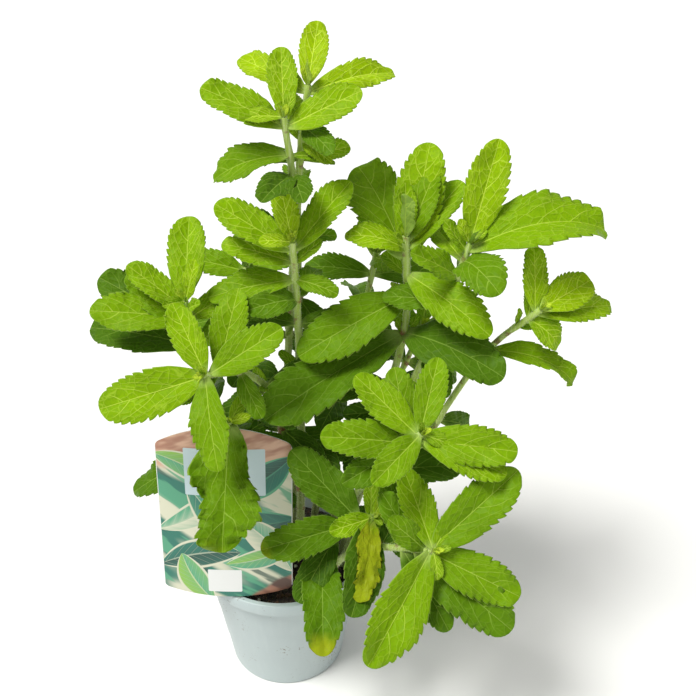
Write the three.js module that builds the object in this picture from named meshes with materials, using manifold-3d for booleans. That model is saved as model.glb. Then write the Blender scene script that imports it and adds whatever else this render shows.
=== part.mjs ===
// A young stevia plant in a round nursery pot, with a printed picture card stuck in its soil.
// Millimetres, +Z up. The origin is the centre of the pot's flat underside.
// Every leafy stem is one solid: a tapering stalk with opposite pairs of toothed leaves fused to it.
import * as THREE from "three";
import { mergeVertices } from "three/addons/utils/BufferGeometryUtils.js";
import Module from "manifold-3d";

const wasm = await Module();
wasm.setup();

const degree = Math.PI / 180;
const weld = 1e-4; // points closer than this are one point

// ---------------------------------------------------------------- driving dimensions

const pot = {
  rimRadius: 50,
  baseRadius: 35,
  height: 82,
  wall: 1.4,
  floor: 2.2,
  lipHeight: 8,
  lipProud: 1.8,
  edge: 0.8, // chamfer of the lip's edges
  footChamfer: 1.5,
  sides: 30,
  drain: { count: 8, radius: 4, ring: 24, sides: 6 },
};

const soil = {
  level: 74, // height of the surface at the pot's wall
  crown: 3, // how much higher the surface is in the middle
  lumps: [[0.31, 0.2, 0.5], [-0.22, 0.35, 0.5]], // turns per millimetre along X and Y, in radians, and height
  clearance: 0.4, // to the pot's wall and floor
  rings: 4,
  sides: 24,
};

const card = {
  width: 72,
  height: 111,
  thick: 0.8,
  crest: 11.5, // rise of the curved top edge
  belly: 4.7, // drop of the curved bottom edge
  bow: 3.5, // how far the middle stands out in front of the two long edges
  leanBack: 5,
  tiltRight: 1.4,
  foot: [-29, -43, 83.2], // middle of the bottom edge
  columns: 10,
};

const stake = { top: [-26, -40.5, 103], end: [-20, -28, 48], width: 9, thick: 1.2, point: 5, gap: 0.35 };

// The hole that a stalk stands in goes `reach` of the way up the stalk and `below` under its foot.
const hole = { gap: 0.35, sides: 6, reach: 0.24, below: 1 };

const stalk = { sides: 5, rings: 9 };

// A leaf is widest at `widest` of its length, narrows to a stalk-like foot and has a blunt tip.
const leaf = {
  widest: 0.55,
  footShare: 0.12, // width of the foot over the greatest width
  neck: 0.2, // the foot is nearly straight as far as this share of the length
  flare: 0.9, // how late the blade widens
  blunt: 2, // how round its tip is
  sunk: 0.25, // it starts this far off the stalk's centreline, as a share of the stalk's radius
  widthShare: 0.5, // width over length of the smallest leaf
  slimmer: 0.0009, // how much less of that for each millimetre of length
  thick: 0.85, // at the midrib of the smallest leaf
  thicker: 0.01, // how much more for each millimetre of length
  teeth: [[31, 0], [43, 3], [62, 4], [Infinity, 5]], // on each side, of leaves shorter than the first value
  smooth: [0, 0.35, 0.8], // places of the points on a smooth edge
  toothStart: 0.42,
  toothEnd: 0.93,
  toothDepth: 0.13,
  toothRun: 0.014,
  toothCrowding: 1.25, // how much closer the teeth stand towards the tip
  fold: 17, // each half blade rises from the midrib by this angle
  foldSpread: 9,
  light: [0, -0.8, 0.6], // where it comes from
  roll: 0.7, // how far a blade rolls about its midrib to face the light, as a share of the way
  rollLimit: 50,
  rollSpread: 10,
  droopSpread: 6,
  wave: 0.04, // up and down of the edge near the tip, over the leaf's length
  waves: 1.6,
  ribs: 3,
};

// Where a leaf would cross another stem it is bent clear: these are tried in turn, as degrees added
// to its opening and to its turn about the stalk. A leaf that stays in the way of another is left out.
const bends = [
  [0, 0],
  [9, 0],
  [-9, 0],
  [0, 12],
  [0, -12],
  [18, 0],
  [-18, 0],
  [12, 16],
  [12, -16],
  [-12, 16],
  [-12, -16],
  [0, 26],
  [0, -26],
  [28, 0],
  [-28, 0],
];
const clearOf = 0.5; // kept between leaves of different stems
const junction = 0.2; // what is finer than this is evened out where leaves meet their stalk

// ---------------------------------------------------------------- the plant

// Each stem has the points that its centreline passes, from inside the soil to its growing tip, and its
// pairs of leaves from the lowest up. A row holds, for the first and second leaf of a pair:
// place on the stem from 0 to 1 | turn about the stem, 0 to the right and 90 to the back | length
// | opening from the stem's direction | how far the leaf arches down along its length
// | for a curled pair only, the share of the usual width that is left
const stems = [
  {
    name: "stem_front_right",
    path: [[26, -24, 56], [30, -30, 92], [44, -48, 124], [62, -68, 144], [80, -85, 158]],
    radius: [2.2, 1.5],
    pairs: [
      [0.66, 60, 250, 28, 36, 80, 95, 40, 50],
      [0.8, 285, 100, 46, 36, 57, 90, 20, 20],
      [0.88, 309, 130, 62, 34, 54, 80, 10, 30],
      [0.95, 326, 150, 52, 30, 52, 80, 12, 20],
      [0.98, 237, 57, 62, 58, 94, 51, 14, 8, 1.1],
      [1, 106, 270, 42, 15, 100, 70, 6, 50],
      [1, 66, 20, 24, 9, 66, 30, 5, 5],
    ],
  },
  {
    name: "stem_right_middle",
    path: [[23, -13, 56], [29, -19, 100], [42, -29, 145], [58, -44, 182], [74, -60, 210]],
    radius: [2.3, 1.6],
    pairs: [
      [0.66, 0, 100, 46, 32, 54, 80, 20, 40],
      [0.84, 218, 110, 38, 34, 82, 70, 20, 30],
      [0.9, 186, 116, 46, 38, 84, 62, 20, 20],
      [0.95, 342, 95, 50, 30, 48, 80, 30, 20],
      [0.975, 334, 144, 46, 42, 66, 88, 12, 6],
      [0.99, 228, 88, 38, 38, 88, 62, 8, 5],
      [1, 340, 160, 17, 9, 70, 30, 30, 5],
    ],
  },
  {
    name: "stem_front_low",
    path: [[16, -28, 56], [20, -33, 92], [28, -40, 122], [39, -47, 140], [52, -54, 152]],
    radius: [2, 1.4],
    pairs: [
      [0.42, 270, 80, 66, 26, 56, 80, 70, 40, 0.85],
      [0.6, 246, 60, 42, 28, 96, 80, 50, 40],
      [0.78, 204, 20, 50, 32, 110, 80, 16, 40],
      [0.86, 146, 325, 52, 32, 96, 84, 10, 40],
      [0.94, 266, 85, 52, 22, 76, 70, 50, 30],
      [0.97, 248, 120, 46, 20, 68, 60, 60, 20, 0.7],
      [1, 205, 15, 26, 14, 108, 60, 14, 10],
      [1, 85, 265, 16, 8, 56, 40, 5, 5],
    ],
  },
  {
    name: "stem_left_front",
    path: [[2, -14, 56], [3, -14, 120], [2, -14, 190], [-12, -26, 222], [-30, -50, 237]],
    radius: [2.4, 1.5],
    pairs: [
      [0.45, 100, 280, 34, 34, 80, 85, 40, 60],
      [0.62, 200, 20, 34, 36, 85, 85, 50, 50],
      [0.8, 300, 130, 26, 28, 85, 80, 40, 40],
      [0.92, 80, 230, 42, 24, 98, 38, 8, 30],
      [0.97, 204, 32, 56, 43, 45, 100, 30, 8],
      [0.99, 285, 106, 46, 37, 78, 70, 20, 4],
      [1, 222, 40, 16, 11, 80, 40, 50, 5],
    ],
  },
  {
    name: "stem_behind_card",
    path: [[-12, -18, 56], [-15, -21, 100], [-18, -25, 145], [-20, -26, 187.5], [-21, -41.5, 203.5]],
    radius: [2, 1.4],
    pairs: [
      [0.5, 160, 340, 30, 30, 85, 85, 50, 60],
      [0.7, 90, 0, 30, 30, 85, 80, 50, 50],
      [0.98, 268, 60, 64, 16, 84, 80, 10, 30, 1.25],
      [1, 190, 10, 14, 12, 60, 60, 20, 20],
    ],
  },
  {
    name: "stem_centre_right",
    path: [[22, 4, 56], [32, 4, 110], [54, 2, 172], [68, 0, 233], [67, 0, 286]],
    radius: [2.6, 1.7],
    pairs: [
      [0.45, 110, 290, 34, 38, 80, 85, 60, 60],
      [0.6, 200, 20, 38, 36, 80, 80, 60, 50],
      [0.74, 215, 287, 86, 64, 114, 61, 22, 60],
      [0.84, 200, 20, 64, 34, 98, 80, 34, 40],
      [0.9, 150, 325, 17, 54, 50, 98, 30, 34],
      [0.94, 150, 45, 56, 58, 18, 19, 60, 10, 1.3],
      [0.965, 24, 216, 44, 34, 42, 42, 20, 70],
      [0.985, 36, 230, 37, 12, 28, 50, 6, 10],
      [1, 268, 90, 25, 26, 12, 14, 5, 5],
    ],
  },
  {
    name: "stem_right_top",
    path: [[31, 2, 56], [44, 0, 118], [66, -3, 182], [86, -6, 242], [98, -8, 286]],
    radius: [2.5, 1.6],
    pairs: [
      [0.5, 30, 210, 30, 32, 80, 80, 50, 50],
      [0.66, 100, 280, 34, 30, 80, 80, 50, 50],
      [0.8, 32, 195, 36, 34, 94, 80, 50, 50],
      [0.89, 214, 60, 36, 36, 60, 80, 20, 40],
      [0.94, 264, 140, 36, 42, 54, 64, 80, 20, 1.4],
      [0.975, 341, 178, 76, 20, 33, 50, 80, 10, 1.06],
      [1, 94, 262, 51, 13, 17, 30, 4, 5],
      [1, 180, 0, 14, 10, 40, 30, 5, 5],
    ],
  },
  {
    name: "stem_far_right",
    path: [[32, -9, 56], [39, -11, 92], [62, -14, 134], [106, -11, 220], [133, -20, 256]],
    radius: [2.3, 1.4],
    pairs: [
      [0.45, 300, 120, 32, 28, 80, 80, 60, 40],
      [0.64, 20, 200, 32, 28, 80, 80, 50, 50],
      [0.78, 321, 165, 54, 28, 36, 70, 95, 30, 0.65],
      [0.9, 180, 0, 13, 13, 40, 40, 5, 5],
      [0.95, 320, 100, 22, 18, 58, 60, 60, 10, 1.6],
      [0.98, 15, 129, 46, 33, 54, 51, 30, 6, 0.8],
      [1, 42, 250, 34, 10, 51, 40, 20, 10, 1.3],
    ],
  },
  {
    name: "stem_left",
    path: [[-12, 0, 56], [-18, -1, 110], [-28, -6, 165], [-38, -12, 215], [-42, -15, 258]],
    radius: [2.4, 1.5],
    pairs: [
      [0.35, 190, 10, 32, 30, 80, 80, 50, 50],
      [0.48, 201, 40, 64, 30, 84, 80, 50, 40, 0.7],
      [0.62, 100, 280, 34, 34, 80, 85, 50, 60],
      [0.84, 174, 0, 56, 34, 70, 80, 20, 40],
      [0.9, 172, 165, 42, 54, 36, 57, 30, 20],
      [0.94, 192, 5, 48, 32, 70, 60, 20, 20],
      [0.97, 170, 300, 36, 18, 44, 50, 6, 20],
      [1, 84, 245, 44, 15, 45, 60, 4, 30, 1.1],
      [1, 0, 180, 24, 8, 20, 20, 4, 5],
    ],
  },
  {
    name: "stem_centre_left",
    path: [[9, -3, 56], [11, -4, 115], [13, -6, 180], [13, -8, 245], [12, -15, 290]],
    radius: [2.6, 1.6],
    pairs: [
      [0.32, 298, 93, 44, 36, 46, 66, 20, 30],
      [0.44, 294, 200, 36, 38, 60, 80, 50, 60],
      [0.62, 265, 85, 34, 34, 95, 80, 50, 50],
      [0.73, 165, 345, 36, 34, 80, 80, 30, 50],
      [0.8, 250, 80, 32, 28, 50, 70, 80, 40],
      [0.87, 190, 320, 44, 24, 80, 70, 20, 60],
      [0.93, 176, 4, 36, 18, 66, 44, 20, 10],
      [0.97, 168, 33, 43, 43, 56, 48, 14, 12],
      [1, 112, 212, 29, 17, 26, 60, 4, 40],
      [1, 300, 120, 9, 8, 30, 25, 5, 5],
    ],
  },
  {
    name: "stem_tall_left",
    path: [[-5, 12, 56], [-1, 12, 130], [6, 9, 210], [12, 5, 300], [9, 0, 346]],
    radius: [2.5, 1.5],
    pairs: [
      [0.34, 312, 130, 42, 34, 84, 80, 40, 50],
      [0.54, 10, 190, 34, 34, 80, 80, 50, 50],
      [0.68, 172, 348, 38, 24, 60, 27, 30, 20],
      [0.82, 255, 282, 36, 30, 69, 72, 30, 30],
      [0.88, 200, 350, 40, 23, 72, 86, 60, 60, 1.1, 0.6],
      [0.97, 178, 2, 42, 39, 54, 67, 15, 14],
      [1, 90, 195, 34, 20, 44, 72, 4, 30],
      [1, 35, 260, 12, 8, 30, 20, 5, 5],
    ],
  },
  {
    name: "stem_tallest",
    path: [[5, 18, 56], [8, 18, 135], [12, 14, 220], [14, 9, 305], [20, 10, 358]],
    radius: [2.5, 1.5],
    pairs: [
      [0.57, 100, 280, 34, 30, 80, 80, 50, 50],
      [0.67, 5, 185, 20, 34, 80, 80, 30, 50],
      [0.76, 95, 275, 32, 28, 76, 80, 40, 50],
      [0.82, 27, 190, 27, 28, 78, 80, 10, 40],
      [0.865, 312, 156, 20, 22, 93, 36, 30, 30],
      [0.9, 294, 120, 27, 26, 84, 60, 30, 30],
      [0.98, 348, 165, 45, 42, 57, 63, 55, 20, 0.8, 0.9],
      [1, 84, 260, 31, 15, 33, 30, 4, 5],
      [1, 170, 350, 9, 8, 20, 20, 5, 5],
    ],
  },
  {
    name: "stem_back_centre",
    path: [[14, 26, 56], [22, 32, 110], [34, 38, 165], [46, 40, 215], [54, 40, 258]],
    radius: [2.4, 1.5],
    pairs: [
      [0.5, 258, 100, 40, 34, 66, 80, 60, 60],
      [0.65, 10, 190, 40, 40, 80, 80, 50, 50],
      [0.8, 100, 280, 42, 38, 80, 80, 50, 50],
      [0.92, 10, 190, 40, 38, 76, 76, 40, 40],
      [0.98, 95, 275, 40, 34, 60, 60, 30, 30],
      [1, 20, 200, 24, 22, 35, 35, 10, 10],
    ],
  },
  {
    name: "stem_back_left",
    path: [[-8, 24, 56], [-11, 31, 105], [-15, 39, 155], [-17, 44, 205], [-18, 47, 246]],
    radius: [2.3, 1.5],
    pairs: [
      [0.5, 10, 190, 36, 38, 80, 80, 60, 60],
      [0.65, 280, 270, 36, 40, 66, 60, 60, 50],
      [0.8, 10, 190, 38, 42, 80, 80, 50, 50],
      [0.92, 100, 280, 40, 34, 76, 76, 40, 40],
      [0.98, 10, 190, 36, 38, 66, 66, 30, 30],
      [1, 100, 280, 26, 20, 40, 40, 20, 20],
    ],
  },
  {
    name: "stem_back_right",
    path: [[24, 20, 56], [36, 28, 100], [54, 40, 140], [70, 48, 175], [82, 52, 205]],
    radius: [2.3, 1.5],
    pairs: [
      [0.5, 10, 258, 38, 40, 80, 90, 60, 60],
      [0.65, 100, 280, 40, 34, 80, 80, 50, 50],
      [0.8, 10, 190, 42, 36, 80, 80, 50, 50],
      [0.92, 100, 280, 40, 34, 76, 76, 40, 40],
      [0.98, 10, 190, 38, 36, 66, 66, 30, 30],
      [1, 100, 280, 26, 20, 40, 40, 20, 20],
    ],
  },
];

// ---------------------------------------------------------------- solids and meshes

function solidOf(geometry) {
  const bare = geometry.clone();
  bare.deleteAttribute("normal");
  bare.deleteAttribute("uv");
  const merged = mergeVertices(bare, weld);
  return new wasm.Manifold(
    new wasm.Mesh({
      numProp: 3,
      vertProperties: merged.attributes.position.array,
      triVerts: new Uint32Array(merged.index.array),
    }),
  );
}

function geometryOf(solid) {
  const { vertProperties, triVerts } = solid.getMesh();
  const geometry = new THREE.BufferGeometry();
  geometry.setAttribute("position", new THREE.BufferAttribute(vertProperties, 3));
  geometry.setIndex(new THREE.BufferAttribute(triVerts, 1));
  geometry.computeVertexNormals();
  return geometry;
}

function meshOf(name, solid, material) {
  const mesh = new THREE.Mesh(geometryOf(solid), material);
  mesh.name = name;
  return mesh;
}

function geometryFrom(points, triangles) {
  const geometry = new THREE.BufferGeometry();
  geometry.setAttribute("position", new THREE.Float32BufferAttribute(points.flatMap((p) => p.toArray()), 3));
  geometry.setIndex(triangles.flat());
  return geometry;
}

// A turned solid about the Z axis from [radius, height] points that run anticlockwise round its section.
function turned(profile, sides) {
  const points = profile.map(([radius, height]) => new THREE.Vector2(radius, height));
  return new THREE.LatheGeometry(points, sides).rotateX(Math.PI / 2);
}

// A round rod along the points, with one radius for each.
function rodGeometry(centres, radii, frames, sides) {
  const points = [];
  const triangles = [];
  centres.forEach((centre, i) => {
    for (let k = 0; k < sides; k++) {
      const angle = (2 * Math.PI * k) / sides;
      points.push(
        centre
          .clone()
          .addScaledVector(frames[i].right, radii[i] * Math.cos(angle))
          .addScaledVector(frames[i].back, radii[i] * Math.sin(angle)),
      );
    }
  });
  const foot = points.push(centres[0].clone()) - 1;
  const tip = points.push(centres.at(-1).clone().addScaledVector(frames.at(-1).along, radii.at(-1))) - 1;
  const last = (centres.length - 1) * sides;
  for (let k = 0; k < sides; k++) {
    const next = (k + 1) % sides;
    triangles.push([foot, next, k], [tip, last + k, last + next]);
    for (let ring = 0; ring < last; ring += sides) {
      triangles.push([ring + k, ring + next, ring + sides + next]);
      triangles.push([ring + k, ring + sides + next, ring + sides + k]);
    }
  }
  return geometryFrom(points, triangles);
}

// ---------------------------------------------------------------- pot, soil and card

function wallRadius(height) {
  return pot.baseRadius + ((pot.rimRadius - pot.lipProud - pot.baseRadius) * height) / pot.height;
}

function potSolid() {
  const { rimRadius, height, wall, floor, lipHeight, footChamfer, edge, drain } = pot;
  const underLip = height - lipHeight;
  const profile = [
    [0, 0],
    [pot.baseRadius - footChamfer, 0],
    [wallRadius(footChamfer), footChamfer],
    [wallRadius(underLip), underLip],
    [rimRadius - edge, underLip],
    [rimRadius, underLip + edge],
    [rimRadius, height - edge],
    [rimRadius - edge, height],
    [wallRadius(height) - wall + edge, height],
    [wallRadius(height - edge) - wall, height - edge],
    [wallRadius(floor) - wall, floor],
    [0, floor],
  ];
  const drill = new THREE.CylinderGeometry(drain.radius, drain.radius, 3 * floor, drain.sides)
    .rotateX(Math.PI / 2);
  const holes = Array.from({ length: drain.count }, (_, i) => {
    const angle = (2 * Math.PI * (i + 0.5)) / drain.count;
    return solidOf(drill).translate([drain.ring * Math.cos(angle), drain.ring * Math.sin(angle), 0]);
  });
  return solidOf(turned(profile, pot.sides)).subtract(wasm.Manifold.union(holes));
}

function soilHeight(x, y) {
  const share = Math.hypot(x, y) / wallRadius(soil.level);
  const lumps = soil.lumps.map(([alongX, alongY, high]) => high * Math.sin(alongX * x + alongY * y));
  return soil.level + (1 - share * share) * lumps.reduce((sum, lump) => sum + lump, soil.crown);
}

function soilSolid(roots) {
  const edge = (height) => wallRadius(height) - pot.wall - soil.clearance;
  const bottom = pot.floor + soil.clearance;
  const profile = [
    [0, bottom],
    [edge(bottom), bottom],
    [edge(soil.level), soil.level],
  ];
  for (let ring = soil.rings - 1; ring >= 0; ring--) {
    profile.push([(edge(soil.level) * ring) / soil.rings, soil.level + soil.crown]);
  }
  const geometry = turned(profile, soil.sides);
  const place = geometry.attributes.position;
  for (let i = 0; i < place.count; i++) {
    if (place.getZ(i) > soil.level + weld) place.setZ(i, soilHeight(place.getX(i), place.getY(i)));
  }
  return roots.reduce((mass, root) => mass.subtract(root), solidOf(geometry));
}

// A flat bar from one point to another, with a pointed end and its broad face to the front.
function stakeSolid(gap) {
  const top = new THREE.Vector3(...stake.top);
  const end = new THREE.Vector3(...stake.end);
  const half = stake.width / 2 + gap;
  const length = top.distanceTo(end);
  const outline = new THREE.Shape([
    new THREE.Vector2(-half, 0),
    new THREE.Vector2(-half, stake.point - length),
    new THREE.Vector2(0, -length - gap),
    new THREE.Vector2(half, stake.point - length),
    new THREE.Vector2(half, 0),
  ]);
  const bar = new THREE.ExtrudeGeometry(outline, { depth: stake.thick + 2 * gap, bevelEnabled: false });
  bar.translate(0, 0, -stake.thick / 2 - gap);
  const up = top.clone().sub(end).normalize();
  const side = new THREE.Vector3().crossVectors(up, new THREE.Vector3(0, -1, 0)).normalize().negate();
  const front = new THREE.Vector3().crossVectors(side, up);
  const place = new THREE.Matrix4().makeBasis(side, up, front).setPosition(top);
  return solidOf(bar.applyMatrix4(place));
}

// The card is a thin bowed plate whose top and bottom edges are curved.
function cardSolid() {
  const points = [];
  const triangles = [];
  const { columns } = card;
  for (let i = 0; i <= columns; i++) {
    const across = (2 * i) / columns - 1;
    const x = (across * card.width) / 2;
    const y = card.bow * across * across;
    const low = card.belly * across * across;
    const high = card.height - card.crest * across * across;
    points.push(
      new THREE.Vector3(x, y, low),
      new THREE.Vector3(x, y, high),
      new THREE.Vector3(x, y + card.thick, low),
      new THREE.Vector3(x, y + card.thick, high),
    );
  }
  const quad = (a, b, c, d) => triangles.push([a, b, c], [a, c, d]);
  for (let i = 0; i < 4 * columns; i += 4) {
    quad(i, i + 4, i + 5, i + 1);
    quad(i + 6, i + 2, i + 3, i + 7);
    quad(i + 2, i + 6, i + 4, i);
    quad(i + 1, i + 5, i + 7, i + 3);
  }
  const end = 4 * columns;
  quad(2, 0, 1, 3);
  quad(end, end + 2, end + 3, end + 1);
  const plate = geometryFrom(points, triangles)
    .rotateX(-card.leanBack * degree)
    .rotateY(card.tiltRight * degree)
    .translate(...card.foot);
  return solidOf(plate).add(stakeSolid(0));
}

// ---------------------------------------------------------------- leaves

let draw = 4217;

// A repeatable random number from -1 to 1.
function chance() {
  draw = (draw * 16807) % 2147483647;
  return (2 * draw) / 2147483647 - 1;
}

// Half the blade's width at a share of its length, as a share of half its greatest width.
function outlineAt(share) {
  const { widest, footShare } = leaf;
  if (share < widest) {
    return footShare + (1 - footShare) * Math.sin((Math.PI / 2) * (share / widest)) ** leaf.flare;
  }
  return Math.sqrt(Math.max(0, 1 - ((share - widest) / (1 - widest)) ** leaf.blunt));
}

// The points down one edge of the blade, as [share of the length, share of half the greatest width].
function edgeOf(long) {
  const plain = (share) => [share, outlineAt(share)];
  const [, teeth] = leaf.teeth.find(([shorter]) => long < shorter);
  if (!teeth) return leaf.smooth.map(plain);
  const edge = [plain(0), plain(leaf.neck)];
  for (let i = 0; i < teeth; i++) {
    const t = i / (teeth - 1);
    const point = leaf.toothStart + (leaf.toothEnd - leaf.toothStart) * (1 - (1 - t) ** leaf.toothCrowding);
    const notch = point + leaf.toothRun;
    edge.push(plain(point), [notch, outlineAt(notch) * (1 - leaf.toothDepth)]);
  }
  return edge;
}

// The frame of a leaf: where it starts, its direction, its upper side and its left side.
function leafFrame(stem, at, turn, open, sway) {
  const { along, right, back } = frameAt(stem, at);
  const outward = right.clone().multiplyScalar(Math.cos(turn)).addScaledVector(back, Math.sin(turn));
  const ahead = along.clone().multiplyScalar(Math.cos(open)).addScaledVector(outward, Math.sin(open));
  const above = along.clone().multiplyScalar(Math.sin(open)).addScaledVector(outward, -Math.cos(open));
  const light = new THREE.Vector3(...leaf.light);
  const away = Math.atan2(light.dot(ahead.clone().cross(above)), light.dot(above));
  const limit = leaf.rollLimit * degree;
  above.applyAxisAngle(ahead, sway + THREE.MathUtils.clamp(leaf.roll * away, -limit, limit));
  return {
    base: pointAt(stem, at).addScaledVector(outward, leaf.sunk * radiusAt(stem, at)),
    ahead,
    above,
    left: new THREE.Vector3().crossVectors(above, ahead),
  };
}

// A point of the blade: share of the length, share of the half width (negative on the right), lift above it.
function bladePoint(form, share, across, lift) {
  const { base, ahead, above, left, long, droop } = form;
  const angle = droop * share;
  const run = angle ? Math.sin(angle) / angle : 1;
  const drop = angle ? (1 - Math.cos(angle)) / angle : 0;
  const wave = form.wave * share * Math.sin(2 * Math.PI * (leaf.waves * share + form.phase));
  const height = lift + Math.abs(across) * Math.sin(form.fold) + Math.sign(across) * wave;
  return base
    .clone()
    .addScaledVector(ahead, long * share * run + height * Math.sin(angle))
    .addScaledVector(above, height * Math.cos(angle) - long * share * drop)
    .addScaledVector(left, across * Math.cos(form.fold));
}

// A blade that is thickest at its midrib and thin at its edge. Both faces have the same triangles.
function bladeSolid(form, growth) {
  const edge = edgeOf(form.long);
  const half = form.wide / 2;
  const thick = form.thick / 2 + growth;
  const points = [];
  for (const side of [1, -1]) {
    edge.forEach(([share, width]) => points.push(bladePoint(form, share, side * (half * width + growth), 0)));
  }
  const tip = points.push(bladePoint(form, 1 + growth / form.long, 0, 0)) - 1;
  const shares = Array.from({ length: leaf.ribs }, (_, i) => i / leaf.ribs);
  const over = points.length;
  shares.forEach((share) => points.push(bladePoint(form, share, 0, thick)));
  const under = points.length;
  shares.forEach((share) => points.push(bladePoint(form, share, 0, -thick)));

  const triangles = [
    [over, 0, under],
    [over, under, edge.length],
  ];
  for (const [rib, turnedOver] of [[over, false], [under, true]]) {
    for (const side of [0, 1]) {
      const flip = turnedOver !== (side === 1);
      const edgePoint = (i) => (i === edge.length ? tip : side * edge.length + i);
      const ribPoint = (i) => (i === leaf.ribs ? tip : rib + i);
      const add = (a, b, c) => triangles.push(flip ? [a, c, b] : [a, b, c]);
      let e = 0;
      let r = 0;
      while (e < edge.length - 1 || r < leaf.ribs - 1) {
        const nextEdge = e < edge.length - 1 ? edge[e + 1][0] : Infinity;
        const nextRib = r < leaf.ribs - 1 ? shares[r + 1] : Infinity;
        if (nextEdge <= nextRib) {
          add(ribPoint(r), edgePoint(e + 1), edgePoint(e));
          e += 1;
        } else {
          add(ribPoint(r), ribPoint(r + 1), edgePoint(e));
          r += 1;
        }
      }
      add(ribPoint(r), tip, edgePoint(e));
    }
  }
  return solidOf(geometryFrom(points, triangles));
}

// ---------------------------------------------------------------- stems

function pointAt(stem, at) {
  return stem.curve.getPoint(at);
}

function radiusAt(stem, at) {
  return stem.radius[0] + (stem.radius[1] - stem.radius[0]) * at;
}

// The stem's direction, with the directions to its right and its back that the leaves' turns count from.
function frameAt(stem, at) {
  const along = stem.curve.getTangent(at);
  const right = new THREE.Vector3(1, 0, 0).addScaledVector(along, -along.x).normalize();
  return { along, right, back: new THREE.Vector3().crossVectors(along, right) };
}

function stalkSolid(stem) {
  const steps = Array.from({ length: stalk.rings }, (_, i) => i / (stalk.rings - 1));
  return solidOf(
    rodGeometry(
      steps.map((at) => pointAt(stem, at)),
      steps.map((at) => radiusAt(stem, at)),
      steps.map((at) => frameAt(stem, at)),
      stalk.sides,
    ),
  );
}

// The hole that a stalk stands in: its own lowest stretch, a little wider.
function rootHole(stem) {
  const steps = [0, hole.reach / 2, hole.reach];
  const wide = steps.map((at) => radiusAt(stem, at) / Math.cos(Math.PI / hole.sides) + hole.gap);
  const centres = steps.map((at) => pointAt(stem, at));
  centres[0].addScaledVector(frameAt(stem, 0).along, -hole.below);
  return solidOf(rodGeometry(centres, wide, steps.map((at) => frameAt(stem, at)), hole.sides));
}

function touches(a, b) {
  const p = a.box;
  const q = b.box;
  for (let i = 0; i < 3; i++) {
    if (p.min[i] > q.max[i] || q.min[i] > p.max[i]) return false;
  }
  return !a.solid.intersect(b.solid).isEmpty();
}

const boxed = (solid, owner) => ({ solid, box: solid.boundingBox(), owner });

// Grows one leaf, bent clear of everything that isn't its own stem, or null where nothing is clear.
function growLeaf(stem, pair, second, things) {
  const [at, ...both] = pair;
  const [turn, long, open, droop, slim = 1] = [0, 2, 4, 6, 8].map((i) => both[i + second]);
  const form = {
    long,
    wide: slim * long * (leaf.widthShare - leaf.slimmer * long),
    thick: leaf.thick + leaf.thicker * long,
    wave: long * leaf.wave,
    fold: (leaf.fold + leaf.foldSpread * chance()) * degree,
    phase: chance(),
  };
  const sway = leaf.rollSpread * chance() * degree;
  form.droop = (droop + leaf.droopSpread * chance()) * degree;
  for (const [moreOpen, moreTurn] of bends) {
    const frame = leafFrame(stem, at, (turn + moreTurn) * degree, (open + moreOpen) * degree, sway);
    const placed = { ...form, ...frame };
    const trial = boxed(bladeSolid(placed, clearOf));
    if (!things.some((thing) => thing.owner !== stem.name && touches(trial, thing))) {
      return placed;
    }
  }
  return null;
}

// ---------------------------------------------------------------- the assembly

const materials = {
  pot: new THREE.MeshStandardMaterial({ color: 0x9fada6, roughness: 0.45, metalness: 0 }),
  soil: new THREE.MeshStandardMaterial({ color: 0x2a1d12, roughness: 1, metalness: 0 }),
  card: new THREE.MeshStandardMaterial({ color: 0x9fc9a4, roughness: 0.35, metalness: 0 }),
  leafyStem: new THREE.MeshStandardMaterial({ color: 0x76b01c, roughness: 0.5, metalness: 0 }),
};

for (const stem of stems) {
  const points = stem.path.map((point) => new THREE.Vector3(...point));
  stem.curve = new THREE.CatmullRomCurve3(points, false, "catmullrom", 0.5);
  stem.stalk = stalkSolid(stem);
}

const body = {
  pot: potSolid(),
  soil: soilSolid([...stems.map(rootHole), stakeSolid(stake.gap)]),
  card: cardSolid(),
};
const things = [
  ...Object.entries(body).map(([name, solid]) => boxed(solid, name)),
  ...stems.map((stem) => boxed(stem.stalk, stem.name)),
];

const plant = new THREE.Group();
plant.add(meshOf("pot", body.pot, materials.pot));
plant.add(meshOf("soil", body.soil, materials.soil));
plant.add(meshOf("picture_card", body.card, materials.card));

for (const stem of stems) {
  const grown = [];
  for (const pair of stem.pairs) {
    for (const second of [0, 1]) {
      const form = growLeaf(stem, pair, second, things);
      if (!form) continue;
      form.solid = bladeSolid(form, 0);
      grown.push(form);
      things.push(boxed(form.solid, stem.name));
    }
  }
  const solid = wasm.Manifold.union([stem.stalk, ...grown.map((form) => form.solid)]).simplify(junction);
  plant.add(meshOf(stem.name, solid, materials.leafyStem));
}

export default plant;
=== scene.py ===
import math

import bmesh
import bpy
import numpy as np
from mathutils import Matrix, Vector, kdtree, noise


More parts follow.
